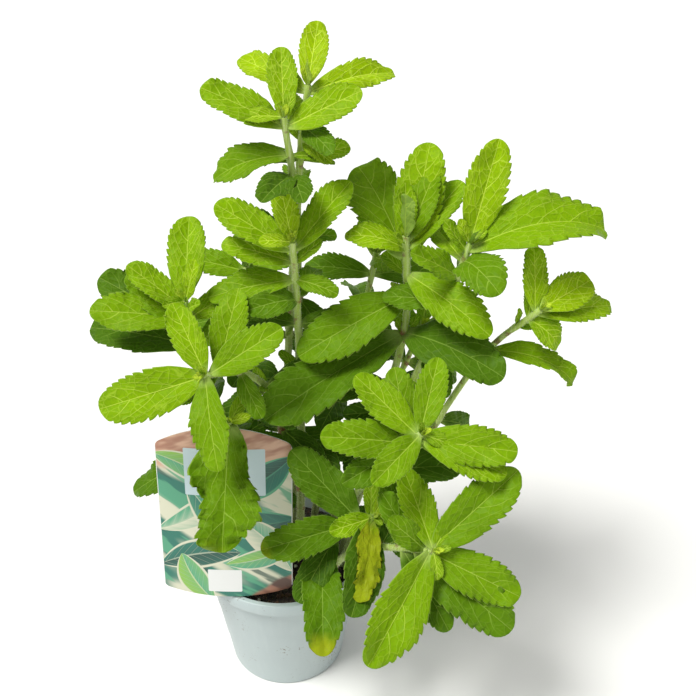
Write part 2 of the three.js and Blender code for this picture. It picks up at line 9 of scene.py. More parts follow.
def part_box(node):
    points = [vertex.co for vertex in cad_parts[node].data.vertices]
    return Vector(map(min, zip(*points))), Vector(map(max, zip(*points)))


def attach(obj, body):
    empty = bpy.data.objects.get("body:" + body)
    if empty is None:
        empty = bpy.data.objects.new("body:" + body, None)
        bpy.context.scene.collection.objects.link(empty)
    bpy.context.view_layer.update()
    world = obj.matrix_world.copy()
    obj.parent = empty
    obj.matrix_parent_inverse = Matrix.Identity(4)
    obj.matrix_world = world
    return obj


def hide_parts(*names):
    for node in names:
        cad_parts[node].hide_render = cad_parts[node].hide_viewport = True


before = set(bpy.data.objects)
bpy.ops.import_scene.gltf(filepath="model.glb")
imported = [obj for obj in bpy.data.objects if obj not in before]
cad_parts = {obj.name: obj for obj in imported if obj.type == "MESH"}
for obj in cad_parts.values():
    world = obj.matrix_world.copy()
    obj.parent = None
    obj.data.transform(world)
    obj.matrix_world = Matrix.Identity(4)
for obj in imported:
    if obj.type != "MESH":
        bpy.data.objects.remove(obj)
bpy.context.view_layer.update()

mm = 0.001
degree = math.pi / 180
scene = bpy.context.scene
growing = None  # the node tree that new nodes go into


# Formulas in node trees

class Field:  # a node's output that can be added, multiplied and so on, as one value per point
    def __init__(self, socket):
        self.socket = socket
        self.isVector = socket.type in ("VECTOR", "RGBA")

    def also(self, name):  # another output of the same node
        return Field(self.socket.node.outputs[name])

    def math(self, operation, *others):
        return addNode("ShaderNodeMath", dict(enumerate((self, *others))), operation=operation)

    def either(self, operation, other, place=1):
        if not self.isVector:
            return self.math(operation, other)
        return addNode("ShaderNodeVectorMath", {0: self, place: other}, operation=operation)

    def __add__(self, other):
        return self.either("ADD", other)

    def __sub__(self, other):
        return self.either("SUBTRACT", other)

    def __mul__(self, other):
        return self.either("SCALE", other, "Scale") if self.isVector else self.math("MULTIPLY", other)

    def __rsub__(self, other):
        return self * -1 + other

    __radd__ = __add__
    __rmul__ = __mul__

    def within(self, low=0, high=1):
        return self.atLeast(low).atMost(high)

    def ramp(self, low, high):  # a smooth rise from 0 at low to 1 at high
        inputs = {"Value": self, "From Min": low, "From Max": high}
        return addNode("ShaderNodeMapRange", inputs, interpolation_type="SMOOTHSTEP")


for method, operation in {
    "sine": "SINE", "cosine": "COSINE", "size": "ABSOLUTE", "sign": "SIGN", "root": "SQRT",
    "fraction": "FRACT", "floor": "FLOOR", "atLeast": "MAXIMUM", "atMost": "MINIMUM",
    "over": "GREATER_THAN", "under": "LESS_THAN", "__truediv__": "DIVIDE", "__pow__": "POWER",
}.items():
    setattr(Field, method, lambda self, *others, operation=operation: self.math(operation, *others))


def plug(socket, value):
    if isinstance(value, Field):
        growing.links.new(value.socket, socket)
    else:
        socket.default_value = value


def addNode(kind, inputs=None, output=0, **settings):
    node = growing.nodes.new(kind)
    for name, value in settings.items():
        setattr(node, name, value)
    for name, value in (inputs or {}).items():
        plug(node.inputs[name], value)
    return Field(node.outputs[output])


def vectorOf(x, y, z):
    return addNode("ShaderNodeCombineXYZ", {"X": x, "Y": y, "Z": z})


def partsOf(vector):
    return [Field(socket) for socket in addNode("ShaderNodeSeparateXYZ", {0: vector}).socket.node.outputs]


def noiseAt(place, scale, detail=2.0, roughness=0.5, output=0):
    settings = {"Vector": place, "Scale": scale, "Detail": detail, "Roughness": roughness}
    return addNode("ShaderNodeTexNoise", settings, output)


def shaken(place, scale):  # a vector that wanders about zero
    return noiseAt(place, scale, output=1) - (0.5, 0.5, 0.5)


# Geometry Nodes trees

def newTree(name, sizes):  # the sizes give its inputs their names and kinds
    global growing
    growing = bpy.data.node_groups.new(name, "GeometryNodeTree")
    for way in ("INPUT", "OUTPUT"):
        growing.interface.new_socket("Geometry", in_out=way, socket_type="NodeSocketGeometry")
    kinds = {int: "NodeSocketInt", float: "NodeSocketFloat", bpy.types.Material: "NodeSocketMaterial"}
    for label, value in sizes.items():
        growing.interface.new_socket(label, in_out="INPUT", socket_type=kinds[type(value)])
    source = growing.nodes.new("NodeGroupInput")
    given = {socket.name: Field(socket) for socket in source.outputs if socket.name}
    return given, growing.nodes.new("NodeGroupOutput").inputs[0]


def named(name, isVector=False):
    kind = "FLOAT_VECTOR" if isVector else "FLOAT"
    return addNode("GeometryNodeInputNamedAttribute", {"Name": name}, data_type=kind)


def kept(geometry, name, value, isVector=False):
    inputs = {"Geometry": geometry, "Name": name, "Value": value}
    kind = "FLOAT_VECTOR" if isVector else "FLOAT"
    return addNode("GeometryNodeStoreNamedAttribute", inputs, data_type=kind)


def joined(*branches):
    whole = addNode("GeometryNodeJoinGeometry")
    for branch in reversed(branches):
        growing.links.new(branch.socket, whole.socket.node.inputs[0])
    return whole


def randomOf(low, high=1.0):  # a number or, from triples, a vector, drawn for each point
    kind = "FLOAT_VECTOR" if isinstance(low, tuple) else "FLOAT"
    return addNode("FunctionNodeRandomValue", {"Min": low, "Max": high}, "Value", data_type=kind)


def placedCopies(points, instance, **placing):
    inputs = {"Points": points, "Instance": instance, **placing}
    return addNode("GeometryNodeRealizeInstances", {0: addNode("GeometryNodeInstanceOnPoints", inputs)})


def coated(geometry, skin, **chosen):
    return addNode("GeometryNodeSetMaterial", {"Geometry": geometry, "Material": skin, **chosen})


def evaluated(source):  # the mesh that an object's modifiers make
    ready = bpy.context.evaluated_depsgraph_get()
    whole = source.evaluated_get(ready)
    return bpy.data.meshes.new_from_object(whole, preserve_all_data_layers=True, depsgraph=ready)


def grown(source, tree, sizes):  # what the tree makes of an object
    modifier = source.modifiers.new(tree.name, "NODES")
    modifier.node_group = tree
    for item in tree.interface.items_tree:
        if item.in_out == "INPUT" and item.name in sizes:
            modifier[item.identifier] = sizes[item.name]
    mesh = evaluated(source)
    source.modifiers.remove(modifier)
    return mesh


def objectOf(name, mesh):
    made = bpy.data.objects.new(name, mesh)
    mesh.name = name
    scene.collection.objects.link(made)
    return made


def finished(name, mesh, slot, *nodes):
    piece = objectOf(name, mesh)
    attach(piece, "root")
    if nodes:
        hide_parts(*nodes)
    return piece


# Materials

def newMaterial(name, **constants):
    global growing
    material = bpy.data.materials.new(name)
    material.use_nodes = True
    growing = material.node_tree
    for label, value in constants.items():
        growing.nodes["Principled BSDF"].inputs[label.replace("_", " ")].default_value = value
    return material


def surfaced(material, colour, roughness, height=None, depth=0.0, strength=1.0):
    inputs = growing.nodes["Principled BSDF"].inputs
    plug(inputs["Base Color"], colour)
    plug(inputs["Roughness"], roughness)
    if height is not None:
        bump = {"Height": height, "Distance": depth, "Strength": strength}
        plug(inputs["Normal"], addNode("ShaderNodeBump", bump))
    return material


def attributeOf(name, isVector=False):
    return addNode("ShaderNodeAttribute", output="Vector" if isVector else "Fac", attribute_name=name)


def objectPlace():
    return addNode("ShaderNodeTexCoord", output="Object")


def mixed(share, first, second):  # colours, as fields or as red, green and blue
    first, second = (colour if isinstance(colour, Field) else (*colour, 1) for colour in (first, second))
    return addNode("ShaderNodeMix", {0: share, 6: first, 7: second}, 2, data_type="RGBA")


# Leafy stems

leafShape = {  # the rule of the solids' leaves, in degrees and in shares of a leaf's length
    "widest": 0.55,  # place of the greatest width along the blade
    "footShare": 0.12,
    "flare": 0.9,
    "blunt": 2,
    "sunk": 0.25,  # how deep in the stalk it starts, over the stalk's radius
    "widthShare": 0.5,
    "slimmer": 0.0009,  # for each millimetre of length
    "fold": 17,
    "foldSpread": 9,
    "light": np.array((0, -0.8, 0.6)),
    "roll": 0.7,  # how much of the way towards the light it turns
    "rollLimit": 50,
    "rollSpread": 10,
    "droopSpread": 6,
    "wave": 0.04,
    "waves": 1.6,
    "weld": 0.004 * mm,  # points of a blade that are closer than this are merged
}

# degrees added to a leaf's opening and turn where it is bent clear of another stem
bends = [
    (0, 0), (9, 0), (-9, 0), (0, 12), (0, -12), (18, 0), (-18, 0), (12, 16),
    (12, -16), (-12, 16), (-12, -16), (0, 26), (0, -26), (28, 0), (-28, 0),
]

# Each stem in millimetres and degrees: the points of its centreline, its radius at the foot and the tip,
# and its pairs of leaves. A row is: place on the stem | turn | length | opening | arch, each for the first
# and the second leaf, and where a blade is slimmer or broader than usual, its width over the usual.
stems = {
    "stem_front_right": {
        "path": [(26, -24, 56), (30, -30, 92), (44, -48, 124), (62, -68, 144), (80, -85, 158)],
        "radius": (2.2, 1.5),
        "pairs": [
            (0.66, 60, 250, 28, 36, 80, 95, 40, 50), (0.8, 285, 100, 46, 36, 57, 90, 20, 20),
            (0.88, 309, 130, 62, 34, 54, 80, 10, 30), (0.95, 326, 150, 52, 30, 52, 80, 12, 20),
            (0.98, 237, 57, 62, 58, 94, 51, 14, 8, 1.1), (1, 106, 270, 42, 15, 100, 70, 6, 50),
            (1, 66, 20, 24, 9, 66, 30, 5, 5),
        ],
    },
    "stem_right_middle": {
        "path": [(23, -13, 56), (29, -19, 100), (42, -29, 145), (58, -44, 182), (74, -60, 210)],
        "radius": (2.3, 1.6),
        "pairs": [
            (0.66, 0, 100, 46, 32, 54, 80, 20, 40), (0.84, 218, 110, 38, 34, 82, 70, 20, 30),
            (0.9, 186, 116, 46, 38, 84, 62, 20, 20), (0.95, 342, 95, 50, 30, 48, 80, 30, 20),
            (0.975, 334, 144, 46, 42, 66, 88, 12, 6), (0.99, 228, 88, 38, 38, 88, 62, 8, 5),
            (1, 340, 160, 17, 9, 70, 30, 30, 5),
        ],
    },
    "stem_front_low": {
        "path": [(16, -28, 56), (20, -33, 92), (28, -40, 122), (39, -47, 140), (52, -54, 152)],
        "radius": (2, 1.4),
        "pairs": [
            (0.42, 270, 80, 66, 26, 56, 80, 70, 40, 0.85), (0.6, 246, 60, 42, 28, 96, 80, 50, 40),
            (0.78, 204, 20, 50, 32, 110, 80, 16, 40), (0.86, 146, 325, 52, 32, 96, 84, 10, 40),
            (0.94, 266, 85, 52, 22, 76, 70, 50, 30), (0.97, 248, 120, 46, 20, 68, 60, 60, 20, 0.7),
            (1, 205, 15, 26, 14, 108, 60, 14, 10), (1, 85, 265, 16, 8, 56, 40, 5, 5),
        ],
    },
    "stem_left_front": {
        "path": [(2, -14, 56), (3, -14, 120), (2, -14, 190), (-12, -26, 222), (-30, -50, 237)],
        "radius": (2.4, 1.5),
        "pairs": [
            (0.45, 100, 280, 34, 34, 80, 85, 40, 60), (0.62, 200, 20, 34, 36, 85, 85, 50, 50),
            (0.8, 300, 130, 26, 28, 85, 80, 40, 40), (0.92, 80, 230, 42, 24, 98, 38, 8, 30),
            (0.97, 204, 32, 56, 43, 45, 100, 30, 8), (0.99, 285, 106, 46, 37, 78, 70, 20, 4),
            (1, 222, 40, 16, 11, 80, 40, 50, 5),
        ],
    },
    "stem_behind_card": {
        "path": [(-12, -18, 56), (-15, -21, 100), (-18, -25, 145), (-20, -26, 187.5), (-21, -41.5, 203.5)],
        "radius": (2, 1.4),
        "pairs": [
            (0.5, 160, 340, 30, 30, 85, 85, 50, 60), (0.7, 90, 0, 30, 30, 85, 80, 50, 50),
            (0.98, 268, 60, 64, 16, 84, 80, 10, 30, 1.25), (1, 190, 10, 14, 12, 60, 60, 20, 20),
        ],
    },
    "stem_centre_right": {
        "path": [(22, 4, 56), (32, 4, 110), (54, 2, 172), (68, 0, 233), (67, 0, 286)],
        "radius": (2.6, 1.7),
        "pairs": [
            (0.45, 110, 290, 34, 38, 80, 85, 60, 60), (0.6, 200, 20, 38, 36, 80, 80, 60, 50),
            (0.74, 215, 287, 86, 64, 114, 61, 22, 60), (0.84, 200, 20, 64, 34, 98, 80, 34, 40),
            (0.9, 150, 325, 17, 54, 50, 98, 30, 34), (0.94, 150, 45, 56, 58, 18, 19, 60, 10, 1.3),
            (0.965, 24, 216, 44, 34, 42, 42, 20, 70), (0.985, 36, 230, 37, 12, 28, 50, 6, 10),
            (1, 268, 90, 25, 26, 12, 14, 5, 5),
        ],
    },
    "stem_right_top": {
        "path": [(31, 2, 56), (44, 0, 118), (66, -3, 182), (86, -6, 242), (98, -8, 286)],
        "radius": (2.5, 1.6),
        "pairs": [
            (0.5, 30, 210, 30, 32, 80, 80, 50, 50), (0.66, 100, 280, 34, 30, 80, 80, 50, 50),
            (0.8, 32, 195, 36, 34, 94, 80, 50, 50), (0.89, 214, 60, 36, 36, 60, 80, 20, 40),
            (0.94, 264, 140, 36, 42, 54, 64, 80, 20, 1.4), (0.975, 341, 178, 76, 20, 33, 50, 80, 10, 1.06),
            (1, 94, 262, 51, 13, 17, 30, 4, 5), (1, 180, 0, 14, 10, 40, 30, 5, 5),
        ],
    },
    "stem_far_right": {
        "path": [(32, -9, 56), (39, -11, 92), (62, -14, 134), (106, -11, 220), (133, -20, 256)],
        "radius": (2.3, 1.4),
        "pairs": [
            (0.45, 300, 120, 32, 28, 80, 80, 60, 40), (0.64, 20, 200, 32, 28, 80, 80, 50, 50),
            (0.78, 321, 165, 54, 28, 36, 70, 95, 30, 0.65), (0.9, 180, 0, 13, 13, 40, 40, 5, 5),
            (0.95, 320, 100, 22, 18, 58, 60, 60, 10, 1.6), (0.98, 15, 129, 46, 33, 54, 51, 30, 6, 0.8),
            (1, 42, 250, 34, 10, 51, 40, 20, 10, 1.3),
        ],
    },
    "stem_left": {
        "path": [(-12, 0, 56), (-18, -1, 110), (-28, -6, 165), (-38, -12, 215), (-42, -15, 258)],
        "radius": (2.4, 1.5),
        "pairs": [
            (0.35, 190, 10, 32, 30, 80, 80, 50, 50), (0.48, 201, 40, 64, 30, 84, 80, 50, 40, 0.7),
            (0.62, 100, 280, 34, 34, 80, 85, 50, 60), (0.84, 174, 0, 56, 34, 70, 80, 20, 40),
            (0.9, 172, 165, 42, 54, 36, 57, 30, 20), (0.94, 192, 5, 48, 32, 70, 60, 20, 20),
            (0.97, 170, 300, 36, 18, 44, 50, 6, 20), (1, 84, 245, 44, 15, 45, 60, 4, 30, 1.1),
            (1, 0, 180, 24, 8, 20, 20, 4, 5),
        ],
    },
    "stem_centre_left": {
        "path": [(9, -3, 56), (11, -4, 115), (13, -6, 180), (13, -8, 245), (12, -15, 290)],
        "radius": (2.6, 1.6),
        "pairs": [
            (0.32, 298, 93, 44, 36, 46, 66, 20, 30), (0.44, 294, 200, 36, 38, 60, 80, 50, 60),
            (0.62, 265, 85, 34, 34, 95, 80, 50, 50), (0.73, 165, 345, 36, 34, 80, 80, 30, 50),
            (0.8, 250, 80, 32, 28, 50, 70, 80, 40), (0.87, 190, 320, 44, 24, 80, 70, 20, 60),
            (0.93, 176, 4, 36, 18, 66, 44, 20, 10), (0.97, 168, 33, 43, 43, 56, 48, 14, 12),
            (1, 112, 212, 29, 17, 26, 60, 4, 40), (1, 300, 120, 9, 8, 30, 25, 5, 5),
        ],
    },
    "stem_tall_left": {
        "path": [(-5, 12, 56), (-1, 12, 130), (6, 9, 210), (12, 5, 300), (9, 0, 346)],
        "radius": (2.5, 1.5),
        "pairs": [
            (0.34, 312, 130, 42, 34, 84, 80, 40, 50), (0.54, 10, 190, 34, 34, 80, 80, 50, 50),
            (0.68, 172, 348, 38, 24, 60, 27, 30, 20), (0.82, 255, 282, 36, 30, 69, 72, 30, 30),
            (0.88, 200, 350, 40, 23, 72, 86, 60, 60, 1.1, 0.6), (0.97, 178, 2, 42, 39, 54, 67, 15, 14),
            (1, 90, 195, 34, 20, 44, 72, 4, 30), (1, 35, 260, 12, 8, 30, 20, 5, 5),
        ],
    },
    "stem_tallest": {
        "path": [(5, 18, 56), (8, 18, 135), (12, 14, 220), (14, 9, 305), (20, 10, 358)],
        "radius": (2.5, 1.5),
        "pairs": [
            (0.57, 100, 280, 34, 30, 80, 80, 50, 50), (0.67, 5, 185, 20, 34, 80, 80, 30, 50),
            (0.76, 95, 275, 32, 28, 76, 80, 40, 50), (0.82, 27, 190, 27, 28, 78, 80, 10, 40),
            (0.865, 312, 156, 20, 22, 93, 36, 30, 30), (0.9, 294, 120, 27, 26, 84, 60, 30, 30),
            (0.98, 348, 165, 45, 42, 57, 63, 55, 20, 0.8, 0.9), (1, 84, 260, 31, 15, 33, 30, 4, 5),
            (1, 170, 350, 9, 8, 20, 20, 5, 5),
        ],
    },
    "stem_back_centre": {
        "path": [(14, 26, 56), (22, 32, 110), (34, 38, 165), (46, 40, 215), (54, 40, 258)],
        "radius": (2.4, 1.5),
        "pairs": [
            (0.5, 258, 100, 40, 34, 66, 80, 60, 60), (0.65, 10, 190, 40, 40, 80, 80, 50, 50),
            (0.8, 100, 280, 42, 38, 80, 80, 50, 50), (0.92, 10, 190, 40, 38, 76, 76, 40, 40),
            (0.98, 95, 275, 40, 34, 60, 60, 30, 30), (1, 20, 200, 24, 22, 35, 35, 10, 10),
        ],
    },
    "stem_back_left": {
        "path": [(-8, 24, 56), (-11, 31, 105), (-15, 39, 155), (-17, 44, 205), (-18, 47, 246)],
        "radius": (2.3, 1.5),
        "pairs": [
            (0.5, 10, 190, 36, 38, 80, 80, 60, 60), (0.65, 280, 270, 36, 40, 66, 60, 60, 50),
            (0.8, 10, 190, 38, 42, 80, 80, 50, 50), (0.92, 100, 280, 40, 34, 76, 76, 40, 40),
            (0.98, 10, 190, 36, 38, 66, 66, 30, 30), (1, 100, 280, 26, 20, 40, 40, 20, 20),
        ],
    },
    "stem_back_right": {
        "path": [(24, 20, 56), (36, 28, 100), (54, 40, 140), (70, 48, 175), (82, 52, 205)],
        "radius": (2.3, 1.5),
        "pairs": [
            (0.5, 10, 258, 38, 40, 80, 90, 60, 60), (0.65, 100, 280, 40, 34, 80, 80, 50, 50),
            (0.8, 10, 190, 42, 36, 80, 80, 50, 50), (0.92, 100, 280, 40, 34, 76, 76, 40, 40),
            (0.98, 10, 190, 38, 36, 66, 66, 30, 30), (1, 100, 280, 26, 20, 40, 40, 20, 20),
        ],
    },
}

budRows = [(1, 20, 200, 6, 5.5, 16, 20, 5, 5), (1, 110, 290, 4.5, 4, 12, 14, 5, 5)]  # at every tip
shootRows = {  # small side shoots beside old pairs
    "stem_centre_right": [(0.84, 205, 30, 13, 15, 42, 50, 10, 10), (0.74, 190, 20, 11, 12, 30, 34, 6, 6)],
    "stem_tallest": [(0.57, 20, 200, 13, 12, 35, 40, 8, 8)],
    "stem_tall_left": [(0.54, 100, 280, 12, 13, 36, 30, 8, 8)],
    "stem_centre_left": [(0.62, 0, 180, 14, 15, 44, 40, 10, 10)],
    "stem_left_front": [(0.62, 290, 110, 12, 12, 40, 40, 8, 8)],
    "stem_right_top": [(0.66, 10, 190, 14, 13, 40, 44, 10, 10), (0.5, 300, 120, 14, 15, 46, 40, 10, 10)],
}

# Leaves that aren't like their neighbours: (row, first or second) with their age, crumple and yellow
oddLeaves = {
    "stem_centre_right": {
        (2, 0): (0.77, 0.3, 0), (2, 1): (0.88, 0.3, 0), (3, 0): (0.6, 0.2, 0),
        (5, 0): (0.52, 0.45, 0), (5, 1): (0.3, 0.1, 0), (7, 0): (0.5, 0.1, 0),
    },
    "stem_behind_card": {(2, 0): (0.62, 1.15, 0.04)},
    "stem_front_low": {
        (0, 0): (0.74, 0.5, 0.13), (2, 0): (0.72, 0.2, 0.06), (3, 0): (0.84, 0.2, 0),
        (4, 0): (0.93, 0.2, 0), (5, 0): (0.3, 0.8, 0.95),
    },
    "stem_left": {(1, 0): (0.85, 0.3, 0), (3, 0): (0.9, 0.2, 0), (4, 1): (0.85, 0.2, 0)},
    "stem_left_front": {(5, 0): (0.52, 0.2, 0)},
    "stem_right_middle": {(2, 0): (0.5, 0.1, 0)},
    "stem_far_right": {(2, 0): (0.4, 0.2, 0)},
    "stem_tallest": {(5, 0): (0.75, 0.1, 0), (3, 0): (0.35, 0.1, 0)},
    "stem_tall_left": {(3, 0): (0.9, 0.2, 0), (3, 1): (0.85, 0.2, 0)},
    "stem_right_top": {(4, 0): (0.62, 0.3, 0)},
}
stemAge = {  # how much older, or if negative younger, a stem's leaves look than the others'
    "stem_tallest": -0.22,
    "stem_right_top": -0.02,
    "stem_front_right": 0.15,
    "stem_right_middle": 0.11,
    "stem_left_front": 0.06,
    "stem_tall_left": 0.03,
    "stem_far_right": -0.08,
    "stem_back_centre": 0.2,
    "stem_back_left": 0.2,
    "stem_back_right": 0.15,
}

ageRule = {
    "tip": 0.3,  # of a leaf at the tip of a stem, before the other rules
    "rise": 1.7,  # from there down to the foot
    "spread": 0.07,
    "oldest": 0.97,
    "crumple": 0.25,
    "upper": 0.9,  # where the smooth upper leaves start
    "upperCrumple": 0.08,
}

leafDetail = {
    "Columns": 15,
    "Lower Rows": 10,  # below the teeth
    "Teeth": 8,
    "Tip Rows": 4,
    "Tooth Start": 0.34,
    "Tooth End": 0.93,
    "Tooth Crowding": 1.2,
    "Tooth Depth": 0.12,
    "Tooth Lean": 0.01,  # how far forward the points of the teeth stand
    "Lamina": 0.36 * mm,  # thickness of the blade
    "Rib": 0.5 * mm,  # how far the midrib stands out below
    "Quilt": 0.009,  # swelling between the side veins, over the leaf's length
    "Ripple": 0.035,  # unevenness of the blade, over the leaf's length
    "Curl": 0.45,  # how far the blade's edge bends back down, as a share of its rise
    "Stalk Sides": 14,
    "Hairs": 7e5,  # for each square metre of stalk
    "Hair Length": 1.1 * mm,
    "Hair Girth": 0.075 * mm,
    "Seed": 7,
}

stalkRings = 48
knotShape = {  # the places where pairs of leaves grow from the stalk
    "swelling": 0.28,  # of the stalk's radius
    "reach": 2.6 * mm,
    "atTip": 0.3,  # how much of the swelling is left at the tip
    "fade": 8,  # how fast it gets there
    "scarFade": 2.5,  # how fast the scars end towards the tip
}

randomState = 4217
randomFactor, randomPrime = 16807, 2**31 - 1


def chance():  # a repeatable random number from -1 to 1
    global randomState
    randomState = randomState * randomFactor % randomPrime
    return 2 * randomState / randomPrime - 1


def unit(vector):
    return vector / np.linalg.norm(vector)


class Stalk:
    def __init__(self, path, radius):
        self.points = np.array(path, float) * mm
        self.radii = [r * mm for r in radius]

    def place(self, at):  # Catmull-Rom through the points
        points = self.points
        spans = len(points) - 1
        span = min(int(at * spans), spans - 1)
        t = at * spans - span
        before = points[span - 1] if span else 2 * points[0] - points[1]
        after = points[span + 2] if span + 2 <= spans else 2 * points[-1] - points[-2]
        start, end = points[span], points[span + 1]
        leave, arrive = 0.5 * (end - before), 0.5 * (after - start)
        square, cube = t * t, t * t * t
        return (
            start
            + leave * t
            + (3 * (end - start) - 2 * leave - arrive) * square
            + (2 * (start - end) + leave + arrive) * cube
        )

    def along(self, at):
        step = 0.0001
        return unit(self.place(min(1, at + step)) - self.place(max(0, at - step)))

    def radius(self, at):
        return self.radii[0] + (self.radii[1] - self.radii[0]) * at

    def sides(self, at):
        along = self.along(at)
        right = unit(np.array((1.0, 0, 0)) - along[0] * along)
        return along, right, np.cross(along, right)


def turnedAbout(vector, axis, angle):
    cross = np.cross(axis, vector)
    return vector * math.cos(angle) + cross * math.sin(angle) + axis * (axis @ vector) * (1 - math.cos(angle))


def leafFrame(stalk, at, turn, opening, sway):
    along, right, back = stalk.sides(at)
    outward = right * math.cos(turn) + back * math.sin(turn)
    ahead = along * math.cos(opening) + outward * math.sin(opening)
    above = along * math.sin(opening) - outward * math.cos(opening)
    light = leafShape["light"]
    away = math.atan2(light @ np.cross(ahead, above), light @ above)
    limit = leafShape["rollLimit"] * degree
    above = turnedAbout(above, ahead, sway + max(-limit, min(limit, leafShape["roll"] * away)))
    return {
        "base": stalk.place(at) + outward * leafShape["sunk"] * stalk.radius(at),
        "ahead": ahead,
        "above": above,
        "left": np.cross(above, ahead),
    }


def tipOf(leaf):
    angle = leaf["droop"]
    run = math.sin(angle) / angle if angle else 1
    drop = (1 - math.cos(angle)) / angle if angle else 0
    return leaf["base"] + leaf["long"] * (leaf["ahead"] * run - leaf["above"] * drop)


def drawnLeaf(row, second):  # what a leaf's random draws and its row fix
    turn, long, opening, droop = (row[1 + i + second] for i in (0, 2, 4, 6))
    slim = row[9 + second] if len(row) > 9 + second else 1
    leaf = {
        "at": row[0],
        "turn": turn,
        "opening": opening,
        "long": long * mm,
        "wide": slim * long * mm * (leafShape["widthShare"] - leafShape["slimmer"] * long),
        "fold": (leafShape["fold"] + leafShape["foldSpread"] * chance()) * degree,
        "phase": chance(),
    }
    leaf["sway"] = leafShape["rollSpread"] * chance() * degree
    leaf["droop"] = (droop + leafShape["droopSpread"] * chance()) * degree
    return leaf


def placed(leaf, stalk, bend):
    opening, turn = (leaf["opening"] + bend[0]) * degree, (leaf["turn"] + bend[1]) * degree
    return {**leaf, **leafFrame(stalk, leaf["at"], turn, opening, leaf["sway"])}


def nearCorners(node):  # the corners of a solid, to look a leaf's tip up in
    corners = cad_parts[node].data.vertices
    tree = kdtree.KDTree(len(corners))
    for i, corner in enumerate(corners):
        tree.insert(corner.co, i)
    tree.balance()
    return tree


def ageOf(name, row, second, leaf):  # 0 is fresh and yellow-green, 1 is old and dark
    odd = oddLeaves.get(name, {}).get((row, second))
    if odd:
        return odd
    age = ageRule["tip"] + (1 - leaf["at"]) * ageRule["rise"] + stemAge.get(name, 0)
    age += ageRule["spread"] * math.sin(7 * leaf["phase"] + row)
    crumple = ageRule["crumple"] if leaf["at"] < ageRule["upper"] else ageRule["upperCrumple"]
    return min(ageRule["oldest"], max(0, age)), crumple, 0


tipTolerance = 1.5 * mm


def leavesOf(name, stalk):
    corners = nearCorners(name)
    leaves = []
    for index, row in enumerate(stems[name]["pairs"]):
        for second in (0, 1):
            drawn = drawnLeaf(row, second)
            trials = [placed(drawn, stalk, bend) for bend in bends]
            misses = [corners.find(tipOf(trial))[2] for trial in trials]
            best = int(np.argmin(misses))
            if misses[best] > tipTolerance:
                print("  no leaf", name, index, second, round(misses[best] / mm, 2))
                continue
            leaf = trials[best]
            leaf["age"], leaf["crumple"], leaf["yellow"] = ageOf(name, index, second, leaf)
            leaves.append(leaf)
    return leaves


def youngOf(name, stalk):  # the leaves still closed around the growing tip, then those of the side shoots
    young = []
    for rows, age in ((budRows, 0.0), (shootRows.get(name, ()), 0.4)):
        for row in rows:
            for second in (0, 1):
                leaf = placed(drawnLeaf(row, second), stalk, bends[0])
                leaf.update(age=age, crumple=age * 0.3 + 0.02, yellow=0.0)
                young.append(leaf)
    return young


def stemOutline(stalk, heights, leaves):  # the stalk as a chain of edges, and a loose point for each leaf
    mesh = bpy.data.meshes.new("stemOutline")
    steps = sorted({i / (stalkRings - 1) for i in range(stalkRings)} | {*heights})
    chain = [stalk.place(at) for at in steps]
    links = [(i, i + 1) for i in range(len(steps) - 1)]
    mesh.from_pydata([*chain, *(leaf["base"] for leaf in leaves)], links, [])
    knots = [stalk.place(at) for at in heights]

    def nearKnot(at, among):  # 1 at one of the knots, and 0 away from them
        nearest = min(np.linalg.norm(stalk.place(at) - knot) for knot in among)
        return math.exp(-((nearest / knotShape["reach"]) ** 2))

    def girth(at):
        swelling, atTip = knotShape["swelling"] * nearKnot(at, knots), knotShape["atTip"]
        left = atTip + (1 - atTip) * min(1, (1 - at) * knotShape["fade"])
        return stalk.radius(at) * (1 + swelling * left)

    def scar(at):  # the brown rest of fallen leaves, at every other knot
        return nearKnot(at, knots[::2]) * min(1, knotShape["scarFade"] * (1 - at))

    def keep(name, alongChain, inLeaves, kind="FLOAT"):
        attribute = mesh.attributes.new(name, kind, "POINT")
        data = np.array([*alongChain, *inLeaves], np.float32).ravel()
        attribute.data.foreach_set("vector" if kind == "FLOAT_VECTOR" else "value", data)

    for name, rule in (("girth", girth), ("share", float), ("scar", scar)):
        keep(name, [rule(at) for at in steps], [0.0] * len(leaves))
    for name in ("long", "wide", "fold", "droop", "phase", "age", "crumple", "yellow"):
        keep(name, [0.0] * len(steps), [leaf[name] for leaf in leaves])
    for name in ("base", "ahead", "above", "left"):
        keep(name, [(0.0, 0.0, 0.0)] * len(steps), [leaf[name] for leaf in leaves], "FLOAT_VECTOR")
    return objectOf("stemOutline", mesh)


veinShape = {  # the veins on both sides of the midrib, in shares of the blade's length
    "bend": 1.2,
    "climb": 0.78,  # how far on towards the tip a vein is when it gets to the edge
    "closing": 0.7,  # how much closer the veins stand there
    "spacing": 0.23,
    "first": 0.33,  # where they start, over the spacing
    "stagger": 0.03,  # from the left side to the right
    "midrib": 0.46 * mm,  # half its width at the foot, and next how much of that it loses
    "midribTaper": 0.26 * mm,
    "side": 0.19 * mm,  # half widths of the side veins and of the finer ones
    "outer": 0.14 * mm,
}


def sideVeins(share, reach, side):
    # The veins that leave the midrib and climb towards the tip: how far off the nearest one is, along the
    # blade as a share of its length, and the place on the midrib that it comes from
    climbed = reach ** veinShape["bend"]
    slower = 1 - climbed * veinShape["closing"]
    start = (share - climbed * veinShape["climb"]) / slower
    spacing = veinShape["spacing"]
    turns = (start + side * veinShape["stagger"]) / spacing + veinShape["first"]
    return (turns.fraction() - 0.5).size() * spacing * slower, start


